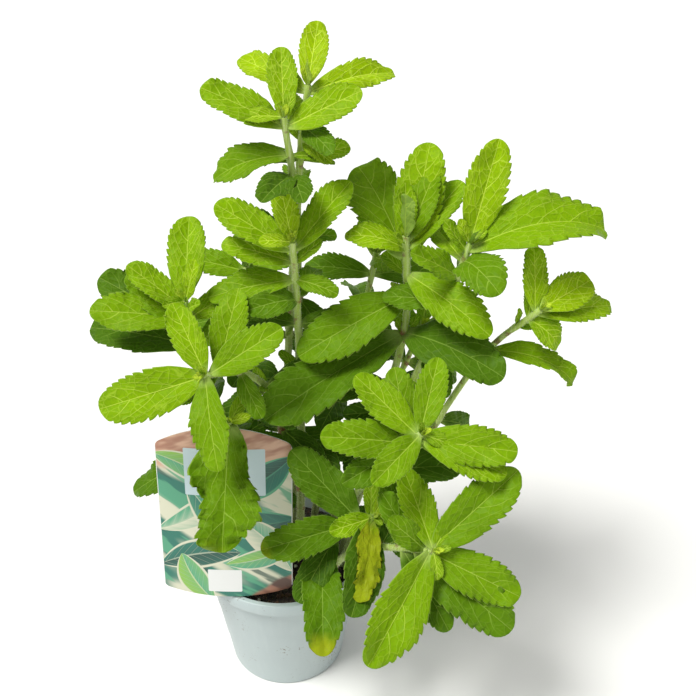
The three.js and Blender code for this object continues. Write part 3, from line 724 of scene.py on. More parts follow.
def bladeGrid(given):
    # A flat grid that carries, for every point, its place along and across the blade
    teeth, lower, end = given["Teeth"], given["Lower Rows"], given["Tip Rows"]
    toothRows = 4
    stretch = 0.24  # a tooth's last row stands close to the next one's first
    rows = lower + teeth * toothRows + end
    sizes = {"Size X": 2.0, "Size Y": 1.0, "Vertices X": given["Columns"], "Vertices Y": rows + 1}
    grid = addNode("GeometryNodeMeshGrid", sizes)
    x, y, _ = partsOf(addNode("GeometryNodeInputPosition"))
    row = ((y + 0.5) * rows + 0.5).floor()
    toothed = ((row - lower) / (teeth * toothRows)).within()
    tooth = (row - lower) / toothRows + 0.01
    phase = tooth.fraction()
    toothed = toothed + (phase - 0.01) * stretch / teeth * toothed.over(0) * toothed.under(1.0)
    start, stop = given["Tooth Start"], given["Tooth End"]
    share = (
        (row / lower).within() * start
        + (1 - (1 - toothed) ** given["Tooth Crowding"]) * (stop - start)
        + (((row - lower - teeth * toothRows) / end).within() * (math.pi / 2)).sine() * (1 - stop)
    )
    crowding = 0.6 / (2 * math.pi)  # columns stand closer at the midrib and at the edge
    across = x.size()
    across = (across - (across * (2 * math.pi)).sine() * crowding) * x.sign() * -1
    rise = 1 - (1 - phase / (1 - 1 / toothRows)).atLeast(0) ** 2
    inside = row.over(-0.5) * toothed.over(-0.5) * row.under(lower + teeth * toothRows)
    inside = inside * (row + 0.5).over(lower)
    notch = (1 - rise) * inside * toothed.ramp(-0.1, 0.25)
    geometry = grid
    for name, value in (("share", share), ("across", across), ("notch", notch), ("tooth", tooth.floor())):
        geometry = kept(geometry, name, value)
    top = addNode("GeometryNodeFlipFaces", {"Mesh": kept(geometry, "face", 1.0)})
    return joined(kept(geometry, "face", -1.0), top)


ribShape = {
    "width": 0.8 * mm,  # half the width of the midrib below the blade
    "grooveWidth": 0.9 * mm,  # and of the groove on top of it
    "grooveDepth": 0.3 * mm,
    "bottom": 0.5 * mm,  # radius at the bottom of the blade's fold
    "foot": 0.35 * mm,  # how much thicker the blade is at its foot
    "grown": 40 * mm,  # length of a leaf with the full thickness
}


def bladePlace(given):
    # Where each point of a blade lies, by the rule of the solids with the finer relief on top
    share, across, face, notch, tooth = (named(n) for n in ("share", "across", "face", "notch", "tooth"))
    long, wide, fold, droop, phase = (named(n) for n in ("long", "wide", "fold", "droop", "phase"))
    crumple = named("crumple")
    base, ahead, above, left = (named(n, True) for n in ("base", "ahead", "above", "left"))
    reach = across.size()
    side = across.sign()

    toWidest = (share / leafShape["widest"]).within()
    pastWidest = ((share - leafShape["widest"]) / (1 - leafShape["widest"])).within()
    foot = leafShape["footShare"]
    outline = ((toWidest * (math.pi / 2)).sine() ** leafShape["flare"] * (1 - foot) + foot) * (
        (1 - pastWidest ** leafShape["blunt"]).atLeast(0).root()
    )
    uneven = addNode("ShaderNodeTexWhiteNoise", {"Vector": vectorOf(tooth, side, phase)})
    blunted = 1 - named("age").ramp(0.75, 0.95) * 0.55
    cut = notch * given["Tooth Depth"] * (uneven * 0.8 + 0.6) * reach ** 4 * blunted
    lobes = (share * 9 + side * 1.4 + 0.3).sine() * 0.22
    lobes = lobes + (noiseAt(vectorOf(side * 3, share * 9, phase * 40), 1.0, 1.0) - 0.5) * 0.4
    half = wide * 0.5 * outline * (lobes * crumple + 1)
    sideways = across * half * (1 - cut)
    leaning = (0.4 - notch) * given["Tooth Lean"] * reach ** 6
    forward = share + leaning * share.ramp(0.3, 0.4) * (1 - share.ramp(0.9, 1))

    leafPoint = vectorOf(across * outline * 1.6, share * 5, phase * 40)
    ripple = (noiseAt(leafPoint, 1.0, 1.0) - 0.5) * 2
    creased = (noiseAt(leafPoint, 3.2, 2.0) - 0.5) * crumple ** 2
    veinAway, _ = sideVeins(share, reach, side)
    swell = (veinAway / 0.08).within()
    quilt = (swell * (2 - swell) - 0.6) * reach.ramp(0.02, 0.25)
    quilt = quilt * (1 - reach.ramp(0.7, 1)) * share.ramp(0.05, 0.25)
    groove = (1 - (sideways / ribShape["grooveWidth"]) ** 2).atLeast(0) * share.ramp(0.02, 0.2) * (1 - share)
    edgeWave = (share * leafShape["waves"] + phase) * (2 * math.pi)
    fringe = (share * 31 + phase * 9).sine() * long * 0.012 * (crumple * 2 + 0.4) * reach ** 3
    relief = (1 - share.ramp(0.92, 1)) * (
        quilt * given["Quilt"] * long
        + (ripple * (crumple * 2.4 + 0.4) + creased * 4) * given["Ripple"] * long * (reach + 0.15)
        + edgeWave.sine() * share * long * across * (crumple * 1.2 + 1) * leafShape["wave"]
        + fringe * share.ramp(0.2, 0.5)
        - groove * ribShape["grooveDepth"]
    )
    growth = (long / ribShape["grown"]).within(0.35, 1.25)
    body = (1 - reach ** 6).atLeast(0).root() * share.ramp(0, 0.02) * (1 - share.ramp(0.985, 1))
    footBody = (1 - share.ramp(0.02, 0.22)) * ribShape["foot"]
    rib = (1 - (sideways / ribShape["width"]) ** 2).atLeast(0)
    below = (1 - face) * 0.5 * rib * given["Rib"] * (1.1 - share)
    thickness = (given["Lamina"] * 0.5 + footBody) * face - below
    bottom = ribShape["bottom"]
    softV = ((sideways * sideways + bottom ** 2).root() - bottom) * fold.sine()
    softV = softV * (1.15 - reach ** 2 * given["Curl"])
    height = softV + relief + thickness * body * growth

    angle = droop * forward + 1e-5
    run = angle.sine() / angle
    drop = (1 - angle.cosine()) / angle
    place = (
        base
        + ahead * (long * forward * run + height * angle.sine())
        + above * (height * angle.cosine() - long * forward * drop)
        + left * (sideways * fold.cosine())
    )
    return place, vectorOf(across * half, share * long, phase)


def leafyStemTree(sizes):
    given, output = newTree("leafyStem", sizes)
    points = {"Geometry": given["Geometry"], "Selection": named("girth").over(0)}
    chain = addNode("GeometryNodeSeparateGeometry", points)
    ring = addNode("GeometryNodeCurvePrimitiveCircle", {"Resolution": given["Stalk Sides"], "Radius": 1.0})
    curve = addNode("GeometryNodeMeshToCurve", {"Mesh": chain})
    sweep = {"Curve": curve, "Profile Curve": ring, "Scale": named("girth"), "Fill Caps": True}
    stalk = kept(addNode("GeometryNodeCurveToMesh", sweep), "part", 0.0)

    spread = {"Mesh": stalk, "Density": given["Hairs"], "Seed": given["Seed"]}
    roots = addNode("GeometryNodeDistributePointsOnFaces", spread)
    leaning = addNode("FunctionNodeEulerToRotation", {"Euler": randomOf((-0.6, -0.6, -3), (0.6, 0.6, 3))})
    turn = {"Rotation": roots.also("Rotation"), "Rotate By": leaning}
    upright = addNode("FunctionNodeRotateRotation", turn, rotation_space="LOCAL")
    cone = {"Radius Top": 0.0, "Radius Bottom": given["Hair Girth"], "Depth": given["Hair Length"]}
    hair = addNode("GeometryNodeMeshCone", {"Vertices": 3, **cone}, fill_type="NONE")
    hairs = placedCopies(roots, hair, Rotation=upright, Scale=vectorOf(1.0, 1.0, randomOf(0.5)))
    hairs = kept(hairs, "part", 2.0)

    blades = placedCopies(chain.also("Inverted"), bladeGrid(given))
    place, veinPlace = bladePlace(given)
    blades = kept(blades, "veinPlace", veinPlace, True)
    blades = addNode("GeometryNodeSetPosition", {"Geometry": blades, "Position": place})
    blades = addNode("GeometryNodeMergeByDistance", {"Geometry": blades, "Distance": leafShape["weld"]})
    blades = kept(blades, "part", 1.0)

    whole = addNode("GeometryNodeSetShadeSmooth", {"Geometry": joined(stalk, blades, hairs)})
    whole = addNode("GeometryNodeRealizeInstances", {0: whole})
    part = named("part")
    for name, low, high in (("Stalk", -0.5, 0.5), ("Blade", 0.5, 1.5), ("Hair", 1.5, 2.5)):
        whole = coated(whole, given[name], Selection=part.over(low) * part.under(high))
    plug(output, whole)
    return growing


bladeColours = {
    "youngest": (0.44, 0.63, 0.002),
    "fresh": (0.235, 0.42, 0.002),
    "grown": (0.115, 0.24, 0.004),
    "old": (0.050, 0.120, 0.006),
    "underside": (0.26, 0.37, 0.10),
    "youngVein": (0.70, 0.88, 0.10),
    "oldVein": (0.33, 0.50, 0.08),
    "edge": (0.46, 0.62, 0.14),
    "yellow": (0.27, 0.33, 0.010),
    "foot": (0.46, 0.60, 0.16),
    "brown": (0.20, 0.09, 0.015),
}


def bladeMaterial():
    material = newMaterial(
        "leafBlade", Specular_IOR_Level=0.05, Subsurface_Scale=1.0 * mm, Subsurface_Weight=0.08,
        Subsurface_Radius=(0.5, 1.0, 0.1),
    )
    colours = bladeColours
    share, across, face, age, yellow, long = (
        attributeOf(n) for n in ("share", "across", "face", "age", "yellow", "long")
    )
    place = attributeOf("veinPlace", True)
    x, y, phase = partsOf(place)
    reach = across.size()
    onTop = face.ramp(-0.2, 0.2)
    inner = (1 - reach.ramp(0.82, 0.97)) * share.ramp(0.02, 0.1)

    # Veins: the midrib, the side veins from it, the finer ones that leave the lowest of those, and a net
    shake = (noiseAt(place, 110.0, 1.0) - 0.5) * 0.05
    midrib = 1 - (x.size() / (veinShape["midrib"] - share * veinShape["midribTaper"])).ramp(0.3, 1)
    veinAway, veinStart = sideVeins(share + shake, reach, across.sign())
    fromMidrib = veinStart.ramp(-0.06, -0.03)
    sideVein = (1 - (veinAway * long * 0.36 / veinShape["side"]).ramp(0.3, 1)) * fromMidrib * inner
    sideVein = sideVein * (1 - reach.ramp(0.45, 1) * 0.6) * (1 - share.ramp(0.75, 0.95) * 0.8)
    outer = ((share + shake * 1.5 - reach * 0.38) / 0.12 + across.sign() * 0.1).fraction() - 0.5
    outerVein = 1 - (outer.size() * 0.12 * long * 0.42 / veinShape["outer"]).ramp(0.3, 1)
    outerVein = outerVein * (1 - fromMidrib) * inner
    netPlace = vectorOf(x * 0.9, y * 0.65, phase * 0.1)
    bent = netPlace + shaken(netPlace, 260.0) * (1.3 * mm)
    cells = {"Vector": bent, "Scale": 270.0, "Randomness": 0.95}
    cellAway = addNode("ShaderNodeTexVoronoi", cells, feature="DISTANCE_TO_EDGE")
    net = 1 - cellAway.ramp(0.0, 0.06)
    veinClear, netClear = 1 - age.ramp(0.12, 0.6) * 0.3, 1 - age.ramp(0.12, 0.55) * 0.65
    veins = midrib.atLeast(sideVein.atLeast(outerVein * 0.7) * veinClear)
    veins = veins.atLeast(net * inner * netClear * 0.5)

    blotch = noiseAt(place, 70.0, 3.0)
    stages = [(age * 3 - step).within() for step in (0, 1, 2)]
    flesh = mixed(stages[0], colours["youngest"], colours["fresh"])
    flesh = mixed(stages[1], flesh, colours["grown"])
    flesh = mixed(stages[2], flesh, colours["old"])
    flesh = mixed((blotch - 0.35) * 1.1, flesh, mixed(0.55, flesh, colours["old"]))
    flesh = mixed(reach ** 1.5 * 0.3 + share * 0.08, flesh, mixed(0.45, flesh, colours["old"]))
    mottled = noiseAt(place, 900.0)
    flesh = mixed(mottled.ramp(0.45, 0.75) * 0.22, flesh, colours["old"])
    veinColour = mixed(age.ramp(0.1, 0.8), colours["youngVein"], colours["oldVein"])
    topColour = mixed(veins * (0.72 - age * 0.2), flesh, veinColour)
    underColour = mixed(0.55, flesh, colours["underside"])
    underColour = mixed(veins * 0.35, underColour, veinColour)
    colour = mixed(onTop, underColour, topColour)
    colour = mixed(reach.ramp(0.95, 0.99) * (0.6 - age * 0.3), colour, colours["edge"])
    colour = mixed((1 - share.ramp(0.02, 0.16)) * 0.6, colour, colours["foot"])
    fading = (share + (blotch - 0.5) * 0.5 - 1 + yellow).ramp(-0.06, 0.12) * yellow.ramp(0, 0.1)
    colour = mixed(fading, colour, colours["yellow"])
    spots = noiseAt(place, 600.0)
    browned = fading * ((spots.ramp(0.66, 0.7) * 0.5).atLeast(reach.ramp(0.88, 0.98) * 0.5)) * 0.7
    colour = mixed(browned, colour, colours["brown"])
    grain = noiseAt(place, 2500.0)
    rough = 0.56 - onTop * 0.14 + veins * 0.08 + (grain - 0.5) * 0.12
    relief = (cellAway.ramp(0.0, 0.3) * inner - veins) * (onTop * 2 - 1)
    return surfaced(material, colour, rough, grain * 0.25 + relief, 0.22 * mm, 0.9)


def stalkMaterial():
    fresh, aged, bloom = (0.38, 0.54, 0.07), (0.17, 0.22, 0.06), (0.58, 0.68, 0.30)
    brown, scarred = (0.20, 0.10, 0.04), (0.26, 0.08, 0.03)
    material = newMaterial("stalkSkin", Sheen_Weight=0.12, Sheen_Roughness=0.5)
    share, scar = attributeOf("share"), attributeOf("scar")
    x, y, z = partsOf(objectPlace())
    stripes = noiseAt(vectorOf(x * 900, y * 900, z * 60), 1.0, 3.0)
    blotch = noiseAt(objectPlace(), 160.0)
    colour = mixed(share.ramp(0.1, 0.8), aged, fresh)
    colour = mixed(stripes.ramp(0.35, 0.7) * (share * 0.45 + 0.3), colour, bloom)
    colour = mixed(blotch.ramp(0.6, 0.7) * 0.75, colour, brown)
    colour = mixed((scar + blotch * 0.6 - 0.5).ramp(0.1, 0.4) * 0.85, colour, scarred)
    return surfaced(material, colour, 0.55 + stripes * 0.2, stripes, 0.15 * mm, 0.6)


def hairMaterial():
    material = newMaterial("whiteDown", Sheen_Weight=0.5)
    tone = noiseAt(objectPlace(), 900.0, 1.0)
    return surfaced(material, mixed(tone, (0.60, 0.70, 0.38), (0.80, 0.86, 0.64)), 0.5 + tone * 0.2)


blade, stalkSkin, down = bladeMaterial(), stalkMaterial(), hairMaterial()


def pieceName(node):  # stem_front_right becomes frontRightStem
    first, *rest = node.split("_")[1:]
    return first + "".join(word.capitalize() for word in rest) + "Stem"


def growStems():
    sizes = {**leafDetail, "Blade": blade, "Stalk": stalkSkin, "Hair": down}
    tree = leafyStemTree(sizes)
    stalks = {name: Stalk(stem["path"], stem["radius"]) for name, stem in stems.items()}
    leaves = {name: leavesOf(name, stalk) for name, stalk in stalks.items()}
    for name, stalk in stalks.items():
        heights = [row[0] for row in stems[name]["pairs"]]
        outline = stemOutline(stalk, heights, leaves[name] + youngOf(name, stalk))
        mesh = grown(outline, tree, sizes)
        bpy.data.objects.remove(outline)
        piece = finished(pieceName(name), mesh, "leafy_stem", name)
        triangles = sum(len(face.vertices) - 2 for face in mesh.polygons)
        print("stem", piece.name, len(leaves[name]), "leaves", triangles, "triangles")


growStems()


# Pot

_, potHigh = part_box("pot")
potShape = {
    "rim": potHigh.x,
    "height": potHigh.z,
    "base": 35 * mm,
    "wall": 1.4 * mm,
    "floor": 2.2 * mm,
    "lip": 8 * mm,  # depth of the lip
    "proud": 1.8 * mm,  # how far the lip stands out
    "foot": 1.5 * mm,
    "dimple": [(0, 0.8 * mm), (12 * mm, 0.8 * mm), (12.8 * mm, 0)],  # section of the hollow under the floor
    "step": 0.35 * mm,  # the fine ledges where the pot narrows
    "ledges": (24 * mm, 50 * mm),
    "sides": 144,
    "drains": {"count": 8, "radius": 4 * mm, "ring": 24 * mm, "sides": 32},
}


def wallRadius(height):
    slope = (potShape["rim"] - potShape["proud"] - potShape["base"]) / potShape["height"]
    return potShape["base"] + slope * height


def arc(centre, radius, start, end, steps=5):  # points of an arc in a section, angles in degrees
    angles = [(start + (end - start) * i / steps) * degree for i in range(steps + 1)]
    return [(centre[0] + radius * math.cos(a), centre[1] + radius * math.sin(a)) for a in angles]


def lathe(name, profile, sides):  # a solid turned from a section that starts and ends on the axis
    form = bmesh.new()
    rings = []
    for radius, height in profile:
        angles = [2 * math.pi * k / sides for k in range(sides if radius > 0 else 1)]
        rings.append([form.verts.new((radius * math.cos(a), radius * math.sin(a), height)) for a in angles])
    for lower, upper in zip(rings, rings[1:]):
        for k in range(sides):
            around = ((lower, k), (lower, k + 1), (upper, k + 1), (upper, k))
            form.faces.new(dict.fromkeys(ring[step % len(ring)] for ring, step in around))
    return meshFrom(form, name)


def meshFrom(form, name):
    mesh = bpy.data.meshes.new(name)
    form.to_mesh(mesh)
    form.free()
    return mesh


def modify(piece, kind, **settings):
    modifier = piece.modifiers.new(kind.lower(), kind)
    for name, value in settings.items():
        setattr(modifier, name, value)


def smoothed(mesh, angle=35):
    mesh.polygons.foreach_set("use_smooth", [True] * len(mesh.polygons))
    mesh.set_sharp_from_angle(angle=angle * degree)
    return mesh


def potProfile():
    height, wall, floor = potShape["height"], potShape["wall"], potShape["floor"]
    under = height - potShape["lip"]
    foot, step, rim = potShape["foot"], potShape["step"], potShape["rim"]
    edge, inner = 0.7 * mm, 0.6 * mm
    body = []
    for ledge in potShape["ledges"]:
        body += [(wallRadius(ledge) - step, ledge), (wallRadius(ledge), ledge + step)]
    return [
        *potShape["dimple"],
        *arc((wallRadius(foot) - foot, foot), foot, -90, 0),
        *body,
        (wallRadius(under) - step, under - 0.4 * mm),
        (wallRadius(under) + 0.2 * mm, under),
        *arc((rim - edge, under + edge), edge, -90, 0),
        *arc((rim - edge, height - edge), edge, 0, 90),
        *arc((wallRadius(height) - wall + inner, height - inner), inner, 90, 180),
        (wallRadius(under) - wall, under),
        *arc((wallRadius(floor) - wall - foot, floor + foot), foot, 0, -90),
        (0, floor),
    ]


def plasticMaterial():
    tones = {"plain": (0.42, 0.50, 0.51), "worn": (0.52, 0.59, 0.59), "dust": (0.16, 0.11, 0.07)}
    material = newMaterial("greyPlastic", Coat_Weight=0.1, Coat_Roughness=0.25)
    place = objectPlace()
    x, y, z = partsOf(place)
    cloudy = noiseAt(place, 18.0, 3.0)
    flow = noiseAt(vectorOf(x * 260, y * 260, z * 30), 1.0)
    colour = mixed(cloudy * 0.6, tones["plain"], tones["worn"])
    colour = mixed(flow.ramp(0.45, 0.75) * 0.25, colour, tones["worn"])
    specks = noiseAt(place, 700.0).ramp(0.62, 0.7)
    splash = specks * noiseAt(place, 45.0).ramp(0.5, 0.7)
    inside = z.ramp(potShape["height"] - 9 * mm, potShape["height"] - 2 * mm)
    colour = mixed(splash * 0.8, colour, tones["dust"])
    colour = mixed(splash.atLeast((1 - inside) * 0.15) * 0.4, colour, tones["dust"])
    rough = 0.38 + cloudy * 0.15 + splash * 0.3
    return surfaced(material, colour, rough, flow * 0.4 + specks * 0.3, 0.08 * mm, 0.6)


def makePot():
    whole = objectOf("potBlank", lathe("potBlank", potProfile(), potShape["sides"]))
    drains = potShape["drains"]
    form = bmesh.new()
    for i in range(drains["count"]):
        angle = 2 * math.pi * (i + 0.5) / drains["count"]
        across = (drains["ring"] * math.cos(angle), drains["ring"] * math.sin(angle), 0)
        sizes = {"radius1": drains["radius"], "radius2": drains["radius"], "depth": 4 * potShape["floor"]}
        drill = bmesh.ops.create_cone(form, cap_ends=True, segments=drains["sides"], **sizes)
        bmesh.ops.translate(form, vec=across, verts=drill["verts"])
    drills = objectOf("drills", meshFrom(form, "drills"))
    modify(whole, "BOOLEAN", object=drills, solver="EXACT")
    mesh = evaluated(whole)
    for scrap in (whole, drills):
        bpy.data.objects.remove(scrap)
    mesh.materials.append(plasticMaterial())
    finished("nurseryPot", smoothed(mesh), "pot", "pot")


makePot()
print("pot is made")


# Soil

soilShape = {
    "level": 74 * mm,
    "crown": 3 * mm,
    "lumps": [(0.31, 0.2, 0.5), (-0.22, 0.35, 0.5)],  # radians for each millimetre, and height in millimetres
    "clearance": 0.4 * mm,
    "rings": 44,
    "sides": 120,
    "rough": 1.1 * mm,  # height of the fine unevenness
    "bumps": 260,  # about how many of its largest bumps lie in a metre
    "octaves": (0.8, 2.2, 4),  # how fast its finer layers weaken, how much finer each is, and their number
    "bare": 1.5 * mm,  # the strip along the wall that no crumbs lie on
}


def soilHeight(x, y):
    share = math.hypot(x, y) / wallRadius(soilShape["level"])
    rise = sum(high * mm * math.sin((a * x + b * y) / mm) for a, b, high in soilShape["lumps"])
    return soilShape["level"] + (1 - share * share) * (soilShape["crown"] + rise)


def soilMaterial(name, dark, light, scale=420.0):
    material = newMaterial(name, Sheen_Weight=0.1)
    place = objectPlace()
    grain = noiseAt(place, scale, 4.0, 0.7)
    colour = mixed((grain * 1.4 - 0.3).within(), dark, light)
    colour = mixed(noiseAt(place, 60.0).ramp(0.4, 0.7) * 0.5, colour, dark)
    return surfaced(material, colour, 0.75 + grain * 0.25, grain, 0.6 * mm, 0.9)


def crumbTree():
    given, output = newTree("crumbs", {**crumbKinds["soilCrumbs"], "Edge": 1.0, "Skin": blade})
    x, y, z = partsOf(addNode("GeometryNodeInputPosition"))
    chosen = (x * x + y * y).root().under(given["Edge"]) * z.over(soilShape["level"] - 2 * mm)
    spread = {"Mesh": given["Geometry"], "Selection": chosen, "Density": given["Density"]}
    spots = addNode("GeometryNodeDistributePointsOnFaces", {**spread, "Seed": given["Seed"]})
    ball = addNode("GeometryNodeMeshIcoSphere", {"Radius": 1.0, "Subdivisions": given["Detail"]})
    tumbled = addNode("FunctionNodeEulerToRotation", {"Euler": randomOf((0, 0, 0), (math.tau,) * 3)})
    big = randomOf(0.4) * given["Size"]
    size = vectorOf(big * given["Length"], big, big * given["Flatness"])
    bits = placedCopies(spots, ball, Rotation=tumbled, Scale=size)
    push = shaken(addNode("GeometryNodeInputPosition"), 900.0) * (given["Size"] * given["Rough"])
    bits = addNode("GeometryNodeSetPosition", {"Geometry": bits, "Offset": push})
    bits = addNode("GeometryNodeSetShadeSmooth", {"Geometry": bits, "Shade Smooth": False})
    bits = addNode("GeometryNodeRealizeInstances", {0: bits})
    plug(output, coated(bits, given["Skin"]))
    return growing


crumbKinds = {
    "soilCrumbs": {
        "Density": 3.4e5, "Size": 0.95 * mm, "Length": 1.2, "Flatness": 0.8, "Rough": 0.9, "Detail": 1,
        "Seed": 3,
    },
    "barkChips": {
        "Density": 6.5e4, "Size": 1.5 * mm, "Length": 2.2, "Flatness": 0.45, "Rough": 0.8, "Detail": 2,
        "Seed": 5,
    },
    "perlite": {
        "Density": 1.1e4, "Size": 1.3 * mm, "Length": 1.1, "Flatness": 0.9, "Rough": 0.9, "Detail": 2,
        "Seed": 8,
    },
}
crumbTones = {
    "soilCrumbs": ((0.010, 0.007, 0.005), (0.045, 0.028, 0.016)),
    "barkChips": ((0.035, 0.017, 0.008), (0.13, 0.06, 0.028)),
    "perlite": ((0.45, 0.43, 0.38), (0.78, 0.77, 0.73)),
}


def fillSoil():
    level, gap = soilShape["level"], soilShape["clearance"]
    foot, edge = (wallRadius(height) - potShape["wall"] - gap for height in (potShape["floor"], level))
    bottom = potShape["floor"] + gap
    rings = soilShape["rings"]
    profile = [(0, bottom), (foot, bottom), *((edge * i / rings, level) for i in range(rings, -1, -1))]
    mesh = lathe("soilMass", profile, soilShape["sides"])
    for corner in mesh.vertices:
        x, y, z = corner.co
        if z < level - 1e-6:
            continue
        spot = (x * soilShape["bumps"], y * soilShape["bumps"], 3.1)
        uneven = noise.fractal(spot, *soilShape["octaves"])
        rim = 1 - (math.hypot(x, y) / edge) ** 8
        corner.co.z = soilHeight(x, y) + soilShape["rough"] * uneven * rim
    mesh.materials.append(soilMaterial("pottingSoil", *crumbTones["soilCrumbs"]))
    ground = finished("pottingSoil", smoothed(mesh, 180), "soil", "soil")
    tree = crumbTree()
    for name, sizes in crumbKinds.items():
        skin = soilMaterial(name, *crumbTones[name], scale=700.0)
        mesh = grown(ground, tree, {**sizes, "Edge": edge - soilShape["bare"], "Skin": skin})
        finished(name, mesh, "soil")
        print(name, len(mesh.polygons), "faces")


fillSoil()


# Picture card

cardShape = {
    "width": 72 * mm,
    "height": 111 * mm,
    "thick": 0.8 * mm,
    "bevel": 0.18 * mm,
    "crest": 11.5 * mm,
    "belly": 4.7 * mm,
    "bow": 3.5 * mm,
    "leanBack": 5 * degree,
    "tiltRight": 1.4 * degree,
    "foot": (-29 * mm, -43 * mm, 83.2 * mm),
    "corner": 2.5 * mm,
    "columns": 40,
    "rows": 48,
    "stakeTop": (-26 * mm, -40.5 * mm, 103 * mm),
    "stakeEnd": (-20 * mm, -28 * mm, 48 * mm),
    "stakeWidth": 9 * mm,
    "stakeThick": 1.2 * mm,
    "stakePoint": 5 * mm,
    "stakeBevel": 0.3 * mm,
}

printTones = {
    "clay": (0.40, 0.18, 0.11),
    "peach": (0.66, 0.40, 0.27),
    "cream": (0.66, 0.66, 0.50),
    "mint": (0.08, 0.36, 0.20),
    "teal": (0.003, 0.16, 0.11),
    "lime": (0.24, 0.48, 0.06),
    "deep": (0.001, 0.06, 0.04),
    "bark": (0.09, 0.035, 0.02),
    "panel": (0.53, 0.66, 0.70),
    "white": (0.78, 0.79, 0.78),
}

barePanels = [((-21, 22, 68.5, 98), "panel"), ((-11, 8, 3.5, 19), "white")]  # left, right, low, high

printedLeaves = [  # foot in millimetres, turn, length, half width, bend, the tones of its flesh and its edge
    ((-38, 93), -28, 40, 8, 0.3, "mint", "lime", "cream"),
    ((36, 92), 214, 44, 10, 0.25, "deep", "teal", "mint"),
    ((-37, 44), 38, 50, 8, -0.3, "cream", "mint", "cream"),
    ((38, 52), 176, 52, 10, 0.3, "teal", "deep", "mint"),
    ((-20, 74), -62, 46, 9, 0.2, "teal", "mint", "cream"),
    ((-37, 20), 14, 46, 10, 0.35, "deep", "teal", "cream"),
    ((36, 16), 128, 50, 9, -0.25, "mint", "cream", "cream"),
    ((-8, -3), 118, 36, 9, 0.3, "mint", "lime", "cream"),
    ((38, 34), 196, 40, 7, 0.2, "lime", "mint", "cream"),
]


def panelMask(x, y, left, right, low, high):
    corner = 0.8
    wide = ((x - (left + right) / 2).size() - ((right - left) / 2 - corner)).atLeast(0)
    tall = ((y - (low + high) / 2).size() - ((high - low) / 2 - corner)).atLeast(0)
    return 1 - (wide * wide + tall * tall).root().ramp(corner - 0.15, corner)


def printedLeaf(x, y, colour, leaf):  # one smooth oval leaf with a pale edge, over the colour so far
    (footX, footY), turn, length, half, bend, first, second, edge = leaf
    cosine, sine = math.cos(turn * degree) / length, math.sin(turn * degree) / length
    u = (x - footX) * cosine + (y - footY) * sine
    v = (y - footY) * cosine - (x - footX) * sine - (u - u * u) * bend
    width = (u.within() * math.pi).sine().atLeast(0) ** 0.75 * (half / length)
    out = v.size() / width.atLeast(0.001)
    body = (1 - out.ramp(0.96, 1)) * u.over(0) * (1 - u.over(1))
    veinAway = ((u - v.size() * 1.3) * 9).fraction() - 0.5
    vein = (1 - veinAway.size().ramp(0.01, 0.07)) * 0.5
    vein = vein.atLeast(1 - out.ramp(0.02, 0.07))
    shade = (out * 0.5 + v.sign() * 0.3 + 0.2 + veinAway.size() * 0.4).within()
    flesh = mixed(shade, printTones[first], printTones[second])
    flesh = mixed(vein, flesh, mixed(0.45, printTones[edge], printTones[second]))
    flesh = mixed(out.ramp(0.78, 0.86), flesh, printTones[edge])
    return mixed(body, colour, flesh)


def printMaterial():
    material = newMaterial("printedCard", Coat_Weight=0.05, Coat_Roughness=0.15)
    x, y, _ = partsOf(attributeOf("printPlace", True) * 1000)
    place = vectorOf(x, y, 0.0)
    slanted = vectorOf(x * 0.5 + y * 0.3, y * 1.1 + x * 0.6, 0.0)
    soft = noiseAt(slanted, 0.036, 1.0)
    hazy = noiseAt(slanted + (40, 7, 0), 0.07, 3.0)
    tones = printTones
    colour = mixed(soft.ramp(0.48, 0.56), tones["teal"], tones["cream"])
    colour = mixed(hazy.ramp(0.52, 0.57) * 0.85, colour, tones["mint"])
    colour = mixed((1 - hazy.ramp(0.36, 0.41)) * 0.8, colour, tones["deep"])
    streaks = noiseAt(vectorOf(x * 0.3 + y * 0.5, y * 1.2 - x * 0.5, 0.0), 0.13)
    clay = mixed(streaks.ramp(0.38, 0.6), tones["clay"], tones["peach"])
    colour = mixed((y + soft * 10 - 88).ramp(0, 5), colour, clay)
    for leaf in printedLeaves:
        colour = printedLeaf(x, y, colour, leaf)
    corner = (x * 0.6 - y + soft * 14).ramp(12, 15)
    colour = mixed(corner, colour, mixed(hazy.ramp(0.4, 0.55), tones["bark"], tones["clay"]))
    for edges, tone in barePanels:
        colour = mixed(panelMask(x, y, *edges), colour, tones[tone])
    colour = mixed((x.size() - 35.5).ramp(0, 0.2), colour, tones["white"])
    grain = noiseAt(place, 9.0)
    colour = mixed(grain * 0.05, colour, tones["white"])
    return surfaced(material, colour, 0.3 + grain * 0.12, noiseAt(place, 2.5, 3.0), 0.05 * mm, 0.4)


def cardBackMaterial():
    material = newMaterial("whiteCard", Coat_Weight=0.2, Coat_Roughness=0.2)
    tone = noiseAt(objectPlace(), 140.0, 3.0)
    colour = mixed(tone, (0.78, 0.79, 0.77), (0.70, 0.71, 0.69))
    return surfaced(material, colour, 0.35 + tone * 0.12, tone, 0.05 * mm, 0.4)


def cardPoint(across, up):  # from the left edge -1 to the right 1, and from the bottom edge 0 to the top 1
    shape = cardShape
    x = across * shape["width"] / 2
    inset = max(0.0, abs(x) - (shape["width"] / 2 - shape["corner"]))
    rounding = shape["corner"] - math.sqrt(max(0.0, shape["corner"] ** 2 - inset**2))
    low = shape["belly"] * across**2 + rounding
    high = shape["height"] - shape["crest"] * across**2 - rounding
    return x, shape["bow"] * across**2, low + (high - low) * up


def cardPlaced(x, y, z):
    lean, tilt = -cardShape["leanBack"], cardShape["tiltRight"]
    y, z = y * math.cos(lean) - z * math.sin(lean), y * math.sin(lean) + z * math.cos(lean)
    x, z = x * math.cos(tilt) + z * math.sin(tilt), z * math.cos(tilt) - x * math.sin(tilt)
    return tuple(a + b for a, b in zip((x, y, z), cardShape["foot"]))


